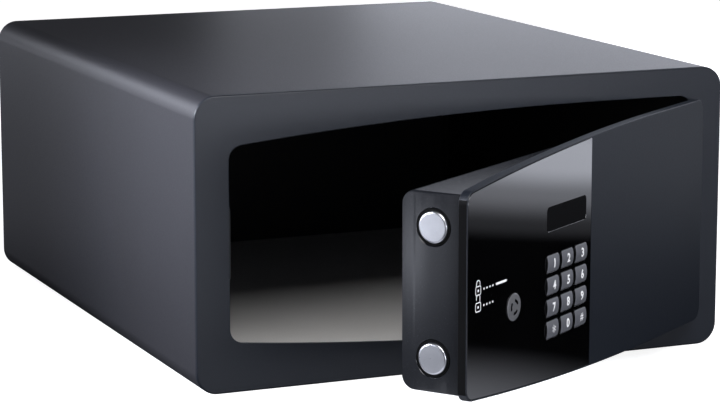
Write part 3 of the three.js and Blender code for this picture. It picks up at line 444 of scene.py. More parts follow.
class Finish:
    """A procedural material around one principled shader."""

    def __init__(self, name, **values):
        self.material = bpy.data.materials.new(name)
        self.material.use_nodes = True
        self.tree = self.material.node_tree
        self.tree.nodes.clear()
        self.shader = self.node("ShaderNodeBsdfPrincipled")
        output = self.node("ShaderNodeOutputMaterial")
        self.join(self.shader.outputs["BSDF"], output.inputs["Surface"])
        coordinates = self.node("ShaderNodeTexCoord")
        self.place = coordinates.outputs["Object"]
        for label, value in values.items():
            self.shader.inputs[label.replace("_", " ")].default_value = value

    def node(self, kind, **settings):
        made = self.tree.nodes.new(kind)
        for label, value in settings.items():
            setattr(made, label, value)
        return made

    def join(self, source, target):
        self.tree.links.new(source, target)

    def stretched(self, scale):
        mapping = self.node("ShaderNodeMapping")
        mapping.inputs["Scale"].default_value = scale
        self.join(self.place, mapping.inputs["Vector"])
        return mapping.outputs["Vector"]

    def noise(self, size, detail=2.0, roughness=0.5, stretch=(1, 1, 1)):
        """Noise whose features are about size across, in metres."""
        made = self.node("ShaderNodeTexNoise")
        made.inputs["Scale"].default_value = 1 / size
        made.inputs["Detail"].default_value = detail
        made.inputs["Roughness"].default_value = roughness
        self.join(self.stretched(stretch), made.inputs["Vector"])
        return made.outputs["Fac"]

    def spread(self, source, low, high, start=0.3, end=0.7):
        """A value that runs from low to high as the source runs from start to end."""
        made = self.node("ShaderNodeMapRange")
        made.inputs["From Min"].default_value = start
        made.inputs["From Max"].default_value = end
        made.inputs["To Min"].default_value = low
        made.inputs["To Max"].default_value = high
        self.join(source, made.inputs["Value"])
        return made.outputs["Result"]

    def blend(self, source, first, second, start=0.3, end=0.7):
        """A colour between two colours or outputs, by the source."""
        made = self.node("ShaderNodeMix", data_type="RGBA")
        self.join(self.spread(source, 0, 1, start, end), made.inputs["Factor"])
        for side, value in (("A", first), ("B", second)):
            socket = next(s for s in made.inputs if s.name == side and s.type == "RGBA")
            if isinstance(value, tuple):
                socket.default_value = (*value, 1)
            else:
                self.join(value, socket)
        return next(s for s in made.outputs if s.type == "RGBA")

    def colour(self, source):
        self.join(source, self.shader.inputs["Base Color"])

    def rough(self, source):
        self.join(source, self.shader.inputs["Roughness"])

    def bump(self, layers):
        """Stacks bumps, each a source and its depth in metres."""
        normal = None
        for source, depth in layers:
            made = self.node("ShaderNodeBump")
            made.inputs["Strength"].default_value = 1
            made.inputs["Distance"].default_value = depth
            self.join(source, made.inputs["Height"])
            if normal:
                self.join(normal, made.inputs["Normal"])
            normal = made.outputs["Normal"]
        self.join(normal, self.shader.inputs["Normal"])


def scaled(colour, share):
    return tuple(c * share for c in colour)


def powder_coat(name, base, roughness, speckle, depth, grain, **values):
    """Paint with a fine orange peel, a speckle and slow changes of tone."""
    finish = Finish(name, **values)
    slow = finish.noise(size=120 * MM, detail=3)
    fine = finish.noise(grain, detail=2, roughness=0.7)
    toned = finish.blend(slow, scaled(base, 0.94), scaled(base, 1.06))
    lit = scaled(base, 1 + speckle)
    finish.colour(finish.blend(fine, toned, lit, 0.5, 0.75))
    finish.rough(finish.spread(fine, roughness - 0.04, roughness + 0.05))
    peel = finish.noise(grain * 1.6, detail=1)
    finish.bump([(peel, depth), (fine, depth * 0.5)])
    return finish.material


def plastic(name, base, roughness, depth, grain=0.6 * MM, **values):
    """Moulded plastic with a fine spark-eroded grain."""
    finish = Finish(name, **values)
    grainy = finish.noise(grain, detail=3, roughness=0.6)
    slow = finish.noise(size=30 * MM, detail=2)
    finish.colour(finish.blend(slow, scaled(base, 0.92), scaled(base, 1.08)))
    finish.rough(finish.spread(grainy, roughness - 0.05, roughness + 0.06))
    finish.bump([(grainy, depth)])
    return finish.material


def metal(name, base, roughness, stretch, grain, depth, **values):
    """Bare or plated metal with fine lines along one way."""
    finish = Finish(name, Metallic=1.0, **values)
    lines = finish.noise(grain, detail=4, roughness=0.65, stretch=stretch)
    slow = finish.noise(size=20 * MM, detail=2)
    finish.colour(finish.blend(slow, scaled(base, 0.93), scaled(base, 1.05)))
    finish.rough(finish.spread(lines, roughness - 0.06, roughness + 0.08))
    finish.bump([(lines, depth)])
    return finish.material


def gloss_panel():
    """Polished black sheet with faint haze and hairline scuffs."""
    finish = Finish("gloss_black", IOR=2.0, Coat_Weight=1.0, Coat_IOR=1.6, Coat_Roughness=0.03)
    haze = finish.noise(size=50 * MM, detail=3)
    scuffs = finish.noise(size=0.8 * MM, detail=2, stretch=(1, 1, 0.06))
    finish.colour(finish.blend(haze, (0.0012, 0.0012, 0.0014), (0.0018, 0.0018, 0.002)))
    finish.rough(finish.spread(scuffs, 0.03, 0.06))
    finish.bump([(haze, 0.01 * MM)])
    return finish.material


def smoked_window():
    """Dark matt film over the display."""
    finish = Finish("smoked_window", IOR=1.12)
    grain = finish.noise(size=0.4 * MM, detail=3)
    finish.colour(finish.blend(grain, (0.0022, 0.0022, 0.0025), (0.0032, 0.0032, 0.0036)))
    finish.rough(finish.spread(grain, 0.42, 0.52))
    finish.bump([(grain, 0.004 * MM)])
    return finish.material


def felt():
    """Needled felt: matted fibres, darker where they lie low and lighter on top, as painted shade.
    """
    finish = Finish("needled_felt", Sheen_Weight=0.25, Sheen_Roughness=0.6)
    fibres = finish.noise(size=0.9 * MM, detail=6, roughness=0.75, stretch=(1, 1.7, 1))
    tufts = finish.noise(size=4 * MM, detail=4, roughness=0.6)
    slow = finish.noise(size=80 * MM, detail=2)
    toned = finish.blend(slow, (0.72, 0.70, 0.67), (0.78, 0.76, 0.73))
    # Painted shade: the colour follows the fibres' bump, darker in the low fibres
    finish.colour(finish.blend(fibres, (0.60, 0.58, 0.55), toned, 0.25, 0.6))
    finish.rough(finish.spread(tufts, 0.92, 1.0))
    finish.bump([(tufts, 0.15 * MM), (fibres, 0.25 * MM)])
    return finish.material


def turned_steel():
    """Satin steel, turned on its face and then tumbled."""
    finish = Finish("satin_steel", Metallic=1.0)
    soft = finish.noise(size=1.2 * MM, detail=4, roughness=0.6)
    slow = finish.noise(size=9 * MM, detail=2)
    finish.colour(finish.blend(slow, (0.74, 0.75, 0.78), (0.80, 0.81, 0.84)))
    finish.rough(finish.spread(soft, 0.27, 0.38))
    finish.bump([(soft, 0.012 * MM)])
    return finish.material


# Name, colour, roughness, speckle, and the depth and size of the grain
CASE_PAINT = powder_coat(
    "case_paint", (0.026, 0.026, 0.03), 0.4, 0.25, 0.012 * MM, 0.9 * MM
)
# Painted shade: a darker copy of the case paint for the inside of the cavity and the strike plate
INNER_PAINTED_SHADE = powder_coat(
    "inner_painted_shade", (0.006, 0.006, 0.007), 0.6, 0.2, 0.01 * MM, 0.9 * MM
)
FRONT_PAINT = powder_coat(
    "front_paint", (0.008, 0.0105, 0.016), 0.42, 0.5, 0.03 * MM, 1.1 * MM
)
HOUSING_PAINT = powder_coat(
    "housing_paint",
    (0.01, 0.011, 0.0135),
    0.23,
    0.2,
    0.006 * MM,
    0.7 * MM,
    Coat_Weight=0.2,
    Coat_Roughness=0.18,
)
GLOSS = gloss_panel()
SMOKED = smoked_window()
FELT = felt()
STEEL = turned_steel()
# Name, colour, roughness and the depth of the grain
LOCK_METAL = plastic("lock_metal", (0.17, 0.172, 0.18), 0.32, 0.01 * MM, Metallic=0.4)
KEY_GREY = plastic("key_grey", (0.1, 0.103, 0.115), 0.36, 0.01 * MM)
LEGEND = plastic("legend_white", (0.88, 0.88, 0.88), 0.5, 0.004 * MM)
BLACK_PLASTIC = plastic("black_plastic", (0.01, 0.01, 0.011), 0.5, 0.02 * MM)
BUSH_BLACK = plastic("bush_black", (0.002, 0.002, 0.0022), 0.6, 0.01 * MM, IOR=1.2)
# Painted shade: a near-black plastic laid where shade falls, on the door plate's left end, the key
# walls and the lock's slots
PAINTED_SHADE_BLACK = plastic("painted_shade_black", (0.002, 0.002, 0.0022), 0.6, 0.01 * MM, IOR=1.2)
SILICONE = plastic("silicone", (0.03, 0.03, 0.033), 0.7, 0.01 * MM)
BOARD = plastic("board_green", (0.012, 0.09, 0.03), 0.45, 0.02 * MM)
NYLON = plastic("nylon", (0.62, 0.6, 0.54), 0.5, 0.01 * MM)
JACKET = plastic("cell_jacket", (0.14, 0.15, 0.16), 0.35, 0.005 * MM)
# Name, colour, roughness, stretch of the lines, and their size and depth
ZINC = metal("zinc_plate", (0.46, 0.47, 0.48), 0.38, (1, 1, 0.3), 1.5 * MM, 0.01 * MM)


def keep(piece, body, slot, *replaced):
    """Rides a piece on its body and hides the nodes that it stands for. The slot is not used."""
    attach(piece, body)
    if replaced:
        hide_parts(*replaced)
    return piece


# Case


def build_case():
    """The folded sleeve with rounded long edges and its two anchor holes."""
    outer = [(inset, shell_low.y + depth) for inset, depth in rim(SHELL_EDGE)]
    outer += [(inset, BACK - depth) for inset, depth in reversed(rim(SHELL_EDGE))]
    inner = [(SHEET, BACK), (SHEET, shell_low.y)]
    rings = [at_depth(case_outline(inset), y) for inset, y in outer + inner]
    count = len(rings[0])
    points = [p for ring in rings for p in ring]
    faces = walls(0, count, len(rings))
    last = (len(rings) - 1) * count
    faces += [(last + k, last + (k + 1) % count, (k + 1) % count, k) for k in range(count)]
    holes = []
    for name in ("base_anchor_plug_1", "base_anchor_plug_2"):
        spot = middle_of(*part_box(name))
        profile = [(ANCHOR_HOLE_R, -OVERRUN), (ANCHOR_HOLE_R, SHEET + OVERRUN)]
        holes.append(turned(profile, "z", (spot.x, spot.y, 0)))
    mesh = boolean(solid_mesh(points, faces), holes)
    sleeve = shown("case_sleeve", mesh, CASE_PAINT)
    middle = Vector((0, 0, MID_Z))
    # Painted shade: the sleeve's inner faces take the darker copy of the case paint
    paint(sleeve, INNER_PAINTED_SHADE, lambda spot, normal: normal.xz.dot((spot - middle).xz) < 0)
    keep(sleeve, "cabinet", "case_paint", "case_shell")


def build_rear():
    """The flanged rear pan with a soft folded edge and two anchor holes."""
    low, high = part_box("back_panel")
    edge = SHEET + SEAT
    sections = [(edge, low.y)]
    sections += [(edge + inset, high.y - depth) for inset, depth in reversed(rim(REAR_FOLD))]
    body = ringed([at_depth(case_outline(inset), y) for inset, y in sections])
    holes = [prism(case_outline(edge + SHEET), low.y - OVERRUN, high.y - SHEET)]
    for name in ("back_anchor_plug_1", "back_anchor_plug_2"):
        spot = middle_of(*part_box(name))
        profile = [(ANCHOR_HOLE_R, -OVERRUN - SHEET), (ANCHOR_HOLE_R, OVERRUN)]
        holes.append(turned(profile, "y", (spot.x, high.y, spot.z)))
    pan = shown("rear_pan", boolean(body, holes), CASE_PAINT)
    keep(pan, "cabinet", "case_paint", "back_panel")


def build_surround():
    """The front plate with its arched opening and a fine rounded rim."""
    opening = lambda inset: arch(-inset)
    mesh = plate(case_outline, [opening], FRONT, front_high.y, FRAME_EDGE, OPENING_EDGE)
    keep(shown("front_surround", mesh, FRONT_PAINT), "cabinet", "front_paint", "front_frame")


def build_mat():
    """The felt mat, drawn as an upright plate and then laid down."""
    low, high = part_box("floor_mat")
    spot = middle_of(low, high)
    width = high.x - low.x
    depth = high.y - low.y
    outline = lambda inset: rounded(
        width - 2 * inset, depth - 2 * inset, MAT_R - inset, spot.x, -spot.y
    )
    mesh = plate(outline, [], -high.z, -low.z, MAT_EDGE)
    mesh.transform(Matrix.Rotation(-QUARTER, 4, "X"))
    keep(shown("felt_mat", mesh, FELT), "cabinet", "felt", "floor_mat")


# Door


def door_piece(name, mesh, material, slot, *replaced, body="door"):
    return keep(shown(name, mesh, material, OPENED), body, slot, *replaced)


panel_low, panel_high = closed_box("control_panel")
keypad_low, keypad_high = closed_box("keypad_mat")
display_low, display_high = closed_box("display_window")
lock_low, lock_high = closed_box("lock_plug")
barrel_low, barrel_high = closed_box("lock_barrel")
housing_low, housing_high = closed_box("door_housing")
bolt_low, bolt_high = closed_box("bolt_upper")
DOOR_LEFT = closed_box("door_plate")[0].x
DOOR_BACK = closed_box("display_module")[1].y
LOCK = middle_of(lock_low, lock_high)
LOCK_BORE = (barrel_high.x - barrel_low.x) / 2 + SEAT
BOLT_R = (bolt_high.z - bolt_low.z) / 2
BUSH_HOLE = BOLT_R + BUSH_WALL + 2 * SEAT


def pad_outline(grow):
    spot = middle_of(keypad_low, keypad_high)
    width = keypad_high.x - keypad_low.x + 2 * (SEAT + grow)
    height = keypad_high.z - keypad_low.z + 2 * (SEAT + grow)
    return rounded(width, height, KEY_R + PAD_MARGIN + grow, spot.x, spot.z)


def display_outline(grow):
    spot = middle_of(display_low, display_high)
    width = display_high.x - display_low.x + 2 * grow
    height = display_high.z - display_low.z + 2 * grow
    return rounded(width, height, DISPLAY_R + grow, spot.x, spot.z)


def build_leaf():
    """The door plate with a fine rim, the recess that takes the panel, and the screws' posts."""
    outline = lambda inset: arch(DOOR_GAP + inset, HINGE_GAP + inset)
    mesh = plate(outline, [], FRONT, DOOR_BACK, DOOR_EDGE, back_edge=DOOR_BACK_EDGE)
    right = panel_high.x + SEAT
    front, back = FRONT - OVERRUN, DOOR_BACK + OVERRUN
    cuts = [
        prism(arch(DOOR_GAP + PANEL_RIM, right=right), front, FRONT + PANEL_DEPTH),
        prism(pad_outline(0), front, back),
        prism(display_outline(DISPLAY_MARGIN), front, back),
        prism(circle(LOCK.x, LOCK.z, LOCK_BORE), front, back),
    ]
    leaf = boolean(mesh, cuts)
    posts = []
    for k in range(1, 5):
        spot = middle_of(*closed_box(f"housing_screw_{k}"))
        end = housing_high.y - HOUSING_WALL - SEAT
        profile = [(POST_R, DOOR_BACK - SHEET), (POST_R, end)]
        posts.append(turned(profile, "y", (spot.x, 0, spot.z), steps=32))
    leaf = boolean(leaf, posts, "UNION")
    piece = door_piece("door_leaf", leaf, FRONT_PAINT, "front_paint", "door_plate")
    # Painted shade: the door plate's left end face takes the near-black material
    edge = DOOR_LEFT + DOOR_EDGE
    paint(piece, PAINTED_SHADE_BLACK, lambda spot, normal: spot.x < edge and normal.x < -END_SHARE)


def key_names():
    return [f"key_{name}" for name in [*map(str, range(10)), "star", "hash"]]


def key_size(name):
    """Middle, width and height of a key's cap, without its flange."""
    low, high = closed_box(name)
    spot = middle_of(low, high)
    return spot, high.x - low.x - 2 * KEY_FLANGE, high.z - low.z - 2 * KEY_FLANGE


def build_panel():
    """The gloss sheet, cut out for twelve keys, the display and the lock."""
    outline = lambda inset: arch(DOOR_GAP + PANEL_RIM + SEAT + inset, right=panel_high.x - inset)
    holes = [
        lambda inset: display_outline(SEAT + inset),
        lambda inset: circle(LOCK.x, LOCK.z, LOCK_BORE + inset),
    ]
    for name in key_names():
        spot, width, height = key_size(name)
        holes.append(
            lambda inset, spot=spot, width=width, height=height: rounded(
                width + 2 * (SEAT + inset),
                height + 2 * (SEAT + inset),
                KEY_R + SEAT + inset,
                spot.x,
                spot.z,
            )
        )
    mesh = plate(outline, holes, panel_low.y, panel_high.y, PANEL_EDGE, PANEL_EDGE)
    door_piece("gloss_sheet", mesh, GLOSS, "gloss_panel", "control_panel")
    for face in mesh.polygons:
        face.use_smooth = abs(face.normal.y) < FLAT_SHARE
    outline = lambda inset: display_outline(-inset)
    window = plate(outline, [], display_low.y, display_high.y, DISPLAY_EDGE)
    door_piece("display_film", window, SMOKED, "display_lens", "display_window")


def crown_at(z, half):
    """How far a key's front stands out at a height from its middle."""
    radius = (half**2 + KEY_CROWN**2) / (2 * KEY_CROWN)
    return math.sqrt(radius**2 - min(abs(z), half) ** 2) - (radius - KEY_CROWN)


def build_key(name):
    """A key cap, crowned from top to bottom, with soft edges and a retaining flange."""
    low, high = closed_box(name)
    spot, width, height = key_size(name)
    half = height / 2
    edge = low.y + KEY_CROWN
    flange = panel_high.y + SEAT

    def outline(inset):
        sides = (width - 2 * inset, height - 2 * inset)
        radius = max(KEY_R - inset, KEY_INNER_R)
        return rounded(*sides, radius, spot.x, spot.z, steps=6, parts=KEY_PARTS)

    rings = [at_depth(outline(-KEY_FLANGE), y) for y in (high.y, flange)]
    rings.append(at_depth(outline(0), flange))
    for inset, depth in rim(KEY_SOFT)[::-1] + [(half * share, 0) for share in KEY_RINGS]:
        ring = outline(inset)
        rings.append([(x, edge + depth - crown_at(z - spot.z, half), z) for x, z in ring])
    body = f"{name}_button"
    cap = door_piece(f"{name}_cap", ringed(rings), KEY_GREY, "key_grey", name, body=body)
    # Painted shade: the key's walls take the near-black material, so the gaps between the keys read
    # dark
    paint(cap, PAINTED_SHADE_BLACK, lambda spot, normal: abs(normal.y) < WALL_SHARE)


LEGENDS = {"key_star": "*", "key_hash": "#"}


def build_legend(name):
    """The white sign on a key, sliced across and laid on its crowned front."""
    edge = closed_box(name)[0].y + KEY_CROWN
    spot, _, height = key_size(name)
    sign = LEGENDS.get(name, name.split("_")[1])
    text = bpy.data.curves.new(f"{name}_text", "FONT")
    text.body = sign
    text.extrude = PRINT_RISE
    text.offset = DIGIT_WEIGHT if sign.isdigit() else 0
    text.resolution_u = 6
    drawn = bpy.data.objects.new("drawn", text)
    bpy.context.scene.collection.objects.link(drawn)
    bpy.context.view_layer.update()
    depsgraph = bpy.context.evaluated_depsgraph_get()
    mesh = bpy.data.meshes.new_from_object(drawn.evaluated_get(depsgraph))
    bpy.data.objects.remove(drawn)
    xs = [v.co.x for v in mesh.vertices]
    ys = [v.co.y for v in mesh.vertices]
    tall = DIGIT_H if sign.isdigit() else SYMBOL_H
    size = tall / (max(ys) - min(ys))
    mid_x = (max(xs) + min(xs)) / 2
    mid_y = (max(ys) + min(ys)) / 2
    shape = bmesh.new()
    shape.from_mesh(mesh)
    bmesh.ops.remove_doubles(shape, verts=shape.verts, dist=LEGEND_MERGE)
    for v in shape.verts:
        rise = PRINT_RISE if v.co.z > 0 else -PRINT_RISE
        across = (v.co.x - mid_x) * size
        v.co = Vector((spot.x + DIGIT_SHIFT + across, rise, spot.z + (v.co.y - mid_y) * size))
    for k in range(1, LEGEND_SLICES):
        level = spot.z - tall / 2 + tall * k / LEGEND_SLICES
        geometry = shape.verts[:] + shape.edges[:] + shape.faces[:]
        bmesh.ops.bisect_plane(
            shape, geom=geometry, plane_co=(0, 0, level), plane_no=(0, 0, 1), dist=MERGE
        )
    for v in shape.verts:
        v.co.y = edge - crown_at(v.co.z - spot.z, height / 2) - v.co.y - PRINT_RISE / 2
    bmesh.ops.recalc_face_normals(shape, faces=shape.faces)
    shape.to_mesh(mesh)
    shape.free()
    mesh.materials.clear()
    door_piece(f"{name}_legend", mesh, LEGEND, "key_grey", body=f"{name}_button")


def build_print(name, outline, hole=None):
    """A white print on the gloss sheet."""
    holes = [lambda inset: hole] if hole else []
    front, back = panel_low.y - PRINT_RISE, panel_low.y + PRINT_RISE
    mesh = plate(lambda inset: outline, holes, front, back)
    door_piece(name, mesh, LEGEND, "gloss_panel")


def build_padlock(name, z, lift, bar_width):
    """A plain padlock sign, open if its shackle is lifted, with four dots and maybe a bar."""
    x = panel_low.x + PADLOCK_INSET
    line = 2 * PADLOCK_LINE
    body = rounded(PADLOCK_W, PADLOCK_H, PADLOCK_R, x, z)
    hollow = rounded(PADLOCK_W - line, PADLOCK_H - line, PADLOCK_R - PADLOCK_LINE, x, z)
    build_print(f"{name}_body", body, hollow)
    build_print(f"{name}_keyhole", circle(x, z, PADLOCK_HOLE, steps=16))
    foot = z + PADLOCK_H / 2
    bend = foot + SHACKLE_LEG + lift
    inner = SHACKLE_R - PADLOCK_LINE
    bow = [(x - SHACKLE_R, foot + lift)] + arc(x, bend, SHACKLE_R, 2 * QUARTER, 0)
    bow += [(x + SHACKLE_R, foot), (x + inner, foot)]
    bow += arc(x, bend, inner, 0, 2 * QUARTER) + [(x - inner, foot + lift)]
    build_print(f"{name}_shackle", bow)
    for k in range(DOTS):
        spot = x + PADLOCK_W / 2 + DOT_PITCH * (k + 1)
        build_print(f"{name}_dot_{k + 1}", circle(spot, z, DOT_R, steps=16))
    if bar_width:
        middle = x + PADLOCK_W / 2 + DOT_PITCH * (DOTS + 1) + bar_width / 2
        build_print(f"{name}_bar", rounded(bar_width, 2 * DOT_R, BAR_R, middle, z))


def build_lock():
    """The lock's domed grey face with three short arc slots."""
    radius = (lock_high.x - lock_low.x) / 2
    back = FRONT - SEAT
    face = lock_low.y
    side = face + 2 * LOCK_RIM
    shares = [k / LOCK_RINGS for k in range(1, LOCK_RINGS)]
    profile = [(TIP_R, face)] + [(radius * s, face + LOCK_RIM * s**2) for s in shares]
    profile += [(radius - LOCK_EDGE, side - LOCK_EDGE), (radius, side), (radius, back)]
    shaft = LOCK_SHAFT_R
    profile += [(shaft, back), (shaft, barrel_high.y), (shaft / 2, barrel_high.y)]
    profile += [(shaft / 2, lock_high.y)]
    body = turned(profile, "y", (LOCK.x, 0, LOCK.z))
    slots = []
    for k in range(LOCK_SLOTS):
        middle = LOCK_SLOT_TURN + 4 * QUARTER * k / LOCK_SLOTS
        start = middle - LOCK_SLOT_ANGLE / 2
        end = middle + LOCK_SLOT_ANGLE / 2
        outer = arc(LOCK.x, LOCK.z, LOCK_SLOT_R + LOCK_SLOT_W / 2, start, end, steps=12)
        inner = arc(LOCK.x, LOCK.z, LOCK_SLOT_R - LOCK_SLOT_W / 2, end, start, steps=12)
        slots.append(prism(outer + inner, face - OVERRUN, face + 2 * LOCK_SLOT_DEPTH))
    mesh = boolean(body, slots)
    disc = door_piece(
        "lock_face", mesh, LOCK_METAL, "lock_metal", "lock_plug", body="emergency_lock"
    )
    reach = LOCK_SLOT_R + LOCK_SLOT_W

    def in_slot(spot, normal):
        return (spot - LOCK).xz.length < reach and spot.y > face + LOCK_RIM

    # Painted shade: the faces inside the slots take the near-black material
    paint(disc, PAINTED_SHADE_BLACK, in_slot)


def build_housing():
    """The housing: rounded at the rear, bowed at its free end, open to bolts and batteries."""
    low, high = housing_low, housing_high

    def section(inset, front=low.y):
        radius = HOUSING_R - inset
        back = high.y - inset
        top = high.z - inset
        bottom = low.z + inset
        return (
            [(front, bottom)]
            + arc(back - radius, bottom + radius, radius, -QUARTER, 0)
            + arc(back - radius, top - radius, radius, 0, QUARTER)
            + [(front, top)]
        )

    soft = rim(HOUSING_END_R, steps=8)
    ends = [(inset, low.x + depth) for inset, depth in soft]
    ends += [(inset, high.x - depth) for inset, depth in reversed(soft)]
    body = ringed([[(x, y, z) for y, z in section(inset)] for inset, x in ends])
    half = (high.y - low.y) / 2
    bow_r = (half**2 + HOUSING_BOW**2) / (2 * HOUSING_BOW)
    reach = math.asin(half / bow_r) + QUARTER / ARCH_STEPS
    start, end = 2 * QUARTER - reach, 2 * QUARTER + reach
    bow = arc(low.x + bow_r, low.y + half, bow_r, start, end, steps=24)
    beyond = high.x + OVERRUN
    bow += [(beyond, bow[-1][1]), (beyond, bow[0][1])]
    slab = prism(bow, -high.z - OVERRUN, OVERRUN - low.z)
    slab.transform(Matrix.Rotation(-QUARTER, 4, "X"))
    body = boolean(body, [slab], "INTERSECT")
    hollow = section(HOUSING_WALL, low.y - OVERRUN)
    inside = [low.x + HOUSING_WALL + HOUSING_BOW, high.x - HOUSING_WALL]
    cuts = [ringed([[(x, y, z) for y, z in hollow] for x in inside])]
    for name in ("bolt_bush_upper", "bolt_bush_lower"):
        spot = middle_of(*closed_box(name))
        mouth = BUSH_HOLE + BUSH_MOUTH
        hole = [(mouth, -OVERRUN), (mouth, 0.0)]
        hole += [(BUSH_HOLE, BUSH_MOUTH), (BUSH_HOLE, HOUSING_WALL + OVERRUN)]
        cuts.append(turned(hole, "x", (low.x, spot.y, spot.z)))
    bay_low, bay_high = closed_box("battery_holder")
    margin = Vector((SEAT, 0, SEAT))
    bay_low = Vector((bay_low.x, high.y - HOUSING_WALL - OVERRUN, bay_low.z)) - margin
    bay_high = Vector((bay_high.x, high.y + OVERRUN, bay_high.z)) + margin
    cuts.append(bar(bay_low, bay_high))
    mesh = boolean(body, cuts)
    door_piece("housing_shell", mesh, HOUSING_PAINT, "housing_paint", "door_housing")


def build_bolt(side):
    """One bolt with a rounded rim, and the dark bush that it runs in."""
    low, high = closed_box(f"bolt_{side}")
    spot = middle_of(low, high)
    face = low.x
    place = (0, spot.y, spot.z)
    profile = [(TIP_R, face)]
    profile += [(BOLT_R - inset, face + depth) for inset, depth in rim(BOLT_RIM, steps=6)]
    shoulder = high.x - BOLT_NECK_L
    profile += [(BOLT_R, shoulder), (BOLT_NECK_R, shoulder), (BOLT_NECK_R, high.x)]
    mesh = turned(profile, "x", place)
    door_piece(f"steel_bolt_{side}", mesh, STEEL, "bolt_steel", f"bolt_{side}", body="bolts")

    low, high = closed_box(f"bolt_bush_{side}")
    inner = BOLT_R + SEAT
    outer = inner + BUSH_WALL
    lip = low.x + HOUSING_WALL + SEAT
    collar = outer + BUSH_COLLAR
    front = low.x + BUSH_RECESS
    profile = [
        (inner, front + BUSH_EDGE),
        (inner + BUSH_EDGE, front),
        (outer - BUSH_EDGE, front),
        (outer, front + BUSH_EDGE),
        (outer, lip),
        (collar, lip),
        (collar, lip + BUSH_WALL),
        (outer, lip + BUSH_WALL),
        (outer, high.x),
        (inner, high.x),
    ]
    mesh = tube(profile, place)
    door_piece(f"bush_{side}", mesh, BUSH_BLACK, "black_plastic", f"bolt_bush_{side}")


def build_screw(k):
    """A pan-head screw with a cross recess."""
    name = f"housing_screw_{k}"
    low, high = closed_box(name)
    spot = middle_of(low, high)
    head = (high.x - low.x) / 2
    under = high.y - SCREW_HEAD_H
    profile = [(SCREW_SHANK_R, low.y), (SCREW_SHANK_R, under), (head, under)]
    turns = [QUARTER * j / 8 for j in range(8)]
    profile += [(head * math.cos(a), under + SCREW_HEAD_H * math.sin(a)) for a in turns]
    body = turned(profile, "y", (spot.x, 0, spot.z), steps=40)
    start = Vector((spot.x, high.y - CROSS_DEPTH, spot.z))
    end = Vector((spot.x, high.y + OVERRUN, spot.z))
    cuts = []
    for half_x, half_z in ((CROSS_REACH, CROSS_HALF_W), (CROSS_HALF_W, CROSS_REACH)):
        corner = Vector((half_x, 0, half_z))
        cuts.append(bar(start - corner, end + corner))
    door_piece(f"cross_screw_{k}", boolean(body, cuts), ZINC, "zinc_steel", name)


def build_battery_lid():
    """The sliding lid with its finger ribs."""
    low, high = closed_box("battery_cover")
    spot = middle_of(low, high)
    width = high.x - low.x
    height = high.z - low.z
    outline = lambda inset: rounded(
        width - 2 * inset, height - 2 * inset, LID_R - inset, spot.x, spot.z
    )
    mesh = plate(outline, [], low.y, low.y + LID_SHEET, LID_EDGE, back_edge=LID_BACK_EDGE)
    ribs = []
    for k in range(RIBS):
        x = low.x + RIB_PITCH * (k + 1) + RIB_W / 2
        profile = lambda inset, x=x: rounded(
            RIB_W - 2 * inset, height / 2 - 2 * inset, RIB_R - inset, x, spot.z, steps=5
        )
        ribs.append(plate(profile, [], low.y + LID_SHEET / 2, high.y, back_edge=RIB_EDGE))
    mesh = boolean(mesh, ribs, "UNION")
    door_piece("battery_lid", mesh, BLACK_PLASTIC, "black_plastic", "battery_cover", body="cover")


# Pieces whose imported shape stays, with a finish and softened edges

KEPT = {
    # The strike plate inside the cavity takes the darker copy of the case paint, painted shade
    "strike_plate": (INNER_PAINTED_SHADE, "front_paint"),
    "display_module": (BLACK_PLASTIC, "black_plastic"),
    "keypad_mat": (SILICONE, "silicone"),
    "circuit_board": (BOARD, "board"),
    "motor_bracket": (ZINC, "zinc_steel"),
    "gear_motor": (BLACK_PLASTIC, "black_plastic"),
    "lock_barrel": (ZINC, "zinc_steel"),
    "lock_nut": (ZINC, "zinc_steel"),
    "lock_cam": (ZINC, "zinc_steel"),
    "bolt_carriage": (ZINC, "zinc_steel"),
    "drive_pinion": (ZINC, "zinc_steel"),
    "battery_holder": (BLACK_PLASTIC, "black_plastic"),
    "cover_guide": (BLACK_PLASTIC, "black_plastic"),
}
for kind in ("hinge_bracket", "hinge_pin", "hinge_arm"):
    KEPT.update({f"{kind}_{side}": (ZINC, "zinc_steel") for side in ("upper", "lower")})
KEPT.update({f"hinge_washer_{side}": (NYLON, "nylon") for side in ("upper", "lower")})
KEPT.update({f"battery_{k}": (JACKET, "cell_jacket") for k in range(1, 5)})
for place in ("base", "back"):
    KEPT.update({f"{place}_anchor_plug_{k}": (BLACK_PLASTIC, "black_plastic") for k in (1, 2)})


def keep_packed():
    for name, (material, slot) in KEPT.items():
        piece = nodes[name]
        piece.data.materials.clear()
        piece.data.materials.append(material)
        weld = piece.modifiers.new("weld", "WELD")
        weld.merge_threshold = WELD_REACH
        soften = piece.modifiers.new("soften", "BEVEL")
        soften.width = SOFT_EDGE
        soften.segments = 2
        soften.limit_method = "ANGLE"
        soften.angle_limit = SHARP
        soften.harden_normals = True


# Stage, light and camera


def tinted(level):
    return scaled(COOL, level)


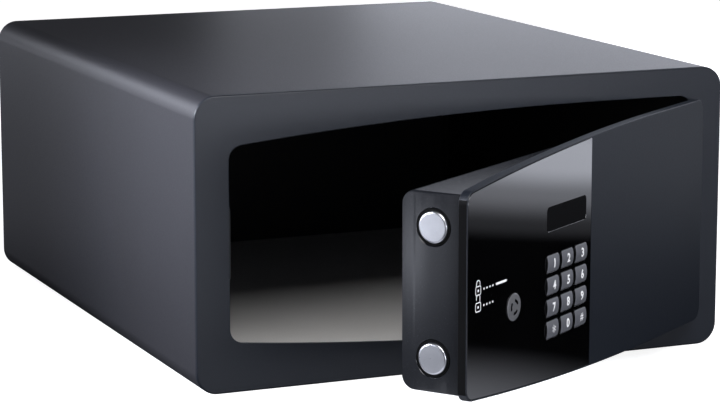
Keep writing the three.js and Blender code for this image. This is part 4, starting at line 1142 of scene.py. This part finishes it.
def stage_light(tree, centre, levels):
    """Emission whose colour runs outward from a centre through (distance, colour) pairs."""
    join = tree.links.new
    place = tree.nodes.new("ShaderNodeTexCoord")
    away = tree.nodes.new("ShaderNodeVectorMath")
    away.operation = "DISTANCE"
    away.inputs[1].default_value = centre
    join(place.outputs["Object"], away.inputs[0])
    reach = levels[-1][0]
    share = tree.nodes.new("ShaderNodeMath")
    share.operation = "DIVIDE"
    share.inputs[1].default_value = reach
    join(away.outputs["Value"], share.inputs[0])
    ramp = tree.nodes.new("ShaderNodeValToRGB")
    ramp.color_ramp.interpolation = "EASE"
    steps = ramp.color_ramp.elements
    first, *between, last = levels
    steps[0].position = first[0] / reach
    steps[0].color = (*first[1], 1)
    steps[1].color = (*last[1], 1)
    for distance, colour in between:
        steps.new(distance / reach).color = (*colour, 1)
    join(share.outputs["Value"], ramp.inputs["Fac"])
    light = tree.nodes.new("ShaderNodeEmission")
    join(ramp.outputs["Color"], light.inputs["Color"])
    return light.outputs["Emission"]


def added(tree, first, second):
    """Two shaders added up."""
    total = tree.nodes.new("ShaderNodeAddShader")
    tree.links.new(first, total.inputs[0])
    tree.links.new(second, total.inputs[1])
    return total.outputs["Shader"]


def by_ray(tree, output, camera, glossy, other):
    """Ends a tree in one shader for the camera, one for reflections and one for the rest."""
    join = tree.links.new
    path = tree.nodes.new("ShaderNodeLightPath")
    surface = other
    for ray, shader in (("Is Glossy Ray", glossy), ("Is Camera Ray", camera)):
        mix = tree.nodes.new("ShaderNodeMixShader")
        join(path.outputs[ray], mix.inputs["Fac"])
        join(surface, mix.inputs[1])
        join(shader, mix.inputs[2])
        surface = mix.outputs["Shader"]
    join(surface, tree.nodes.new(output).inputs["Surface"])


def white_stage(name, own_light, mirrors):
    """A pale floor, white to the camera but for shadows, with its own light in reflections."""
    material = bpy.data.materials.new(name)
    material.use_nodes = True
    tree = material.node_tree
    tree.nodes.clear()
    diffuse = tree.nodes.new("ShaderNodeBsdfDiffuse")
    diffuse.inputs["Color"].default_value = (*FLOOR_COLOUR, 1)
    pale = diffuse.outputs["BSDF"]
    centre, levels = own_light
    glow = stage_light(tree, centre, [(distance, scaled(WHITE, v)) for distance, v in levels])
    mirrored = None
    for centre, levels in mirrors:
        pool = stage_light(tree, centre, [(distance, tinted(v)) for distance, v in levels])
        mirrored = added(tree, mirrored, pool) if mirrored else pool
    by_ray(tree, "ShaderNodeOutputMaterial", added(tree, pale, glow), mirrored, pale)
    return material


def build_floor():
    """The floor that takes the object's shadow."""
    mesh = bpy.data.meshes.new("floor")
    corners = [(-1, -1), (1, -1), (1, 1), (-1, 1)]
    points = [(x * FLOOR_HALF, y * FLOOR_HALF, 0) for x, y in corners]
    mesh.from_pydata(points, [], [(0, 1, 2, 3)])
    floor = bpy.data.objects.new("floor", mesh)
    bpy.context.scene.collection.objects.link(floor)
    mesh.materials.append(white_stage("floor_white", OWN_LIGHT, FLOOR_LIGHT.values()))


def backdrop(tree, colour):
    made = tree.nodes.new("ShaderNodeBackground")
    made.inputs["Color"].default_value = (*colour, 1)
    return made.outputs["Background"]


def build_world():
    """White to the camera, with faint light on the object and in reflections."""
    world = bpy.data.worlds.new("studio")
    bpy.context.scene.world = world
    world.use_nodes = True
    tree = world.node_tree
    tree.nodes.clear()
    colours = (WHITE, tinted(WORLD_MIRROR), tinted(WORLD_LEVEL))
    by_ray(tree, "ShaderNodeOutputWorld", *(backdrop(tree, colour) for colour in colours))


def softbox(name, place, target, width, height, power, tint, spread):
    """An area lamp aimed at a target. A grid in front of it narrows its spread, in degrees."""
    lamp = bpy.data.lights.new(name, "AREA")
    lamp.shape = "RECTANGLE"
    lamp.size = width
    lamp.size_y = height
    lamp.energy = power
    lamp.color = tint
    lamp.spread = math.radians(spread)
    box = bpy.data.objects.new(name, lamp)
    bpy.context.scene.collection.objects.link(box)
    box.location = place
    aim = Vector(target) - Vector(place)
    box.rotation_euler = aim.to_track_quat("-Z", "Y").to_euler()
    box.visible_camera = False


# Light, cool as the photograph's
WHITE = (1.0, 1.0, 1.0)
COOL = (0.86, 0.89, 1.0)
NEUTRAL = (0.98, 0.98, 1.0)
FLOOR_HALF = 6.0
FLOOR_COLOUR = (0.72, 0.72, 0.72)
# What the camera sees of the floor's own light, short of white near the object for its shadow
OWN_LIGHT = ((0.0, 0.0, 0.0), [(0.4, 0.88), (2.0, 0.98)])
WORLD_LEVEL = 0.01
WORLD_MIRROR = 0.02
# The studio floor as gloss sees it: pools of light, each with its centre and its levels by distance
FLOOR_LIGHT = {
    "all_round": ((0.2, -0.2, 0), [(0.5, 0.0), (0.9, 0.12), (1.7, 0.1), (4.0, 1.2)]),
    "right": ((1.0, -0.2, 0), [(0.07, 1.25), (0.22, 0.5), (0.37, 0.08), (0.45, 0.0)]),
    "under_door": ((0.02, -0.46, 0), [(0.0, 0.46), (0.2, 0.0)]),
    "front": ((0.0, -0.7, 0), [(0.0, 0.5), (0.3, 0.0)]),
    "left": ((-0.78, -0.46, 0), [(0.1, 1.2), (0.34, 0.0)]),
    "near_left": ((-0.18, -0.44, 0), [(0.02, 1.0), (0.12, 0.0)]),
}
# Place, target, width, height, power, tint and spread
LAMPS = {
    "back_high": ((0.95, 1.1, 0.6), (0.1, 0.0, 0.2), 0.8, 0.5, 0.7, COOL, 180),
    "back_low": ((0.78, 1.3, 0.33), (0.1, 0.0, 0.2), 0.75, 0.3, 0.9, COOL, 180),
    "back_right": ((1.0, 1.3, 0.33), (0.1, 0.0, 0.2), 0.8, 0.3, 1.6, COOL, 180),
    "right": ((1.4, 0.6, 0.6), (0.1, 0.0, 0.15), 1.3, 0.9, 8.0, COOL, 180),
    "left_rear": ((-1.0, 0.7, 0.35), (-0.2, 0.0, 0.1), 0.6, 0.5, 3.6, COOL, 180),
    "left_near": ((-0.6, 0.65, 0.45), (-0.2, -0.1, 0.15), 0.35, 0.3, 1.0, COOL, 180),
    "left_edge": ((-1.3, -0.1, 0.6), (-0.2, -0.22, 0.17), 0.2, 0.2, 1.2, COOL, 30),
    "front_low": ((0.3, -1.5, 0.15), (0.0, -0.23, 0.15), 0.8, 0.2, 5.0, COOL, 180),
    "front_high": ((0.0, -1.3, 1.4), (-0.1, -0.14, 0.0), 1.0, 1.0, 24.0, NEUTRAL, 180),
    "door": ((0.0, -0.62, 0.3), (0.03, -0.33, 0.12), 0.2, 0.15, 0.07, COOL, 180),
    "housing": ((-0.6, -0.37, 0.027), (-0.125, -0.43, 0.1), 0.12, 0.045, 0.05, COOL, 180),
}


def build_camera():
    camera = bpy.data.objects.new("camera", bpy.data.cameras.new("camera"))
    bpy.context.scene.collection.objects.link(camera)
    camera.location = CAMERA_PLACE
    camera.rotation_euler = (QUARTER - CAMERA_PITCH, 0, -CAMERA_YAW)
    camera.data.sensor_width = SENSOR
    camera.data.lens = FOCAL_PIXELS / FRAME_PIXELS * SENSOR
    camera.data.clip_start = CLIP_NEAR
    camera.data.clip_end = CLIP_FAR
    bpy.context.scene.camera = camera


build_camera()
build_floor()
build_world()
for name, setup in LAMPS.items():
    softbox(name, *setup)
build_case()
build_rear()
build_surround()
build_mat()
build_leaf()
build_panel()
for key in key_names():
    build_key(key)
    build_legend(key)
build_padlock("closed_padlock", CLOSED_PADLOCK_Z, 0, BAR_W)
build_padlock("open_padlock", OPEN_PADLOCK_Z, SHACKLE_LIFT, 0)
build_lock()
build_housing()
for side in ("upper", "lower"):
    build_bolt(side)
for number in range(1, 5):
    build_screw(number)
build_battery_lid()
keep_packed()
bpy.context.scene.view_settings.view_transform = "Standard"
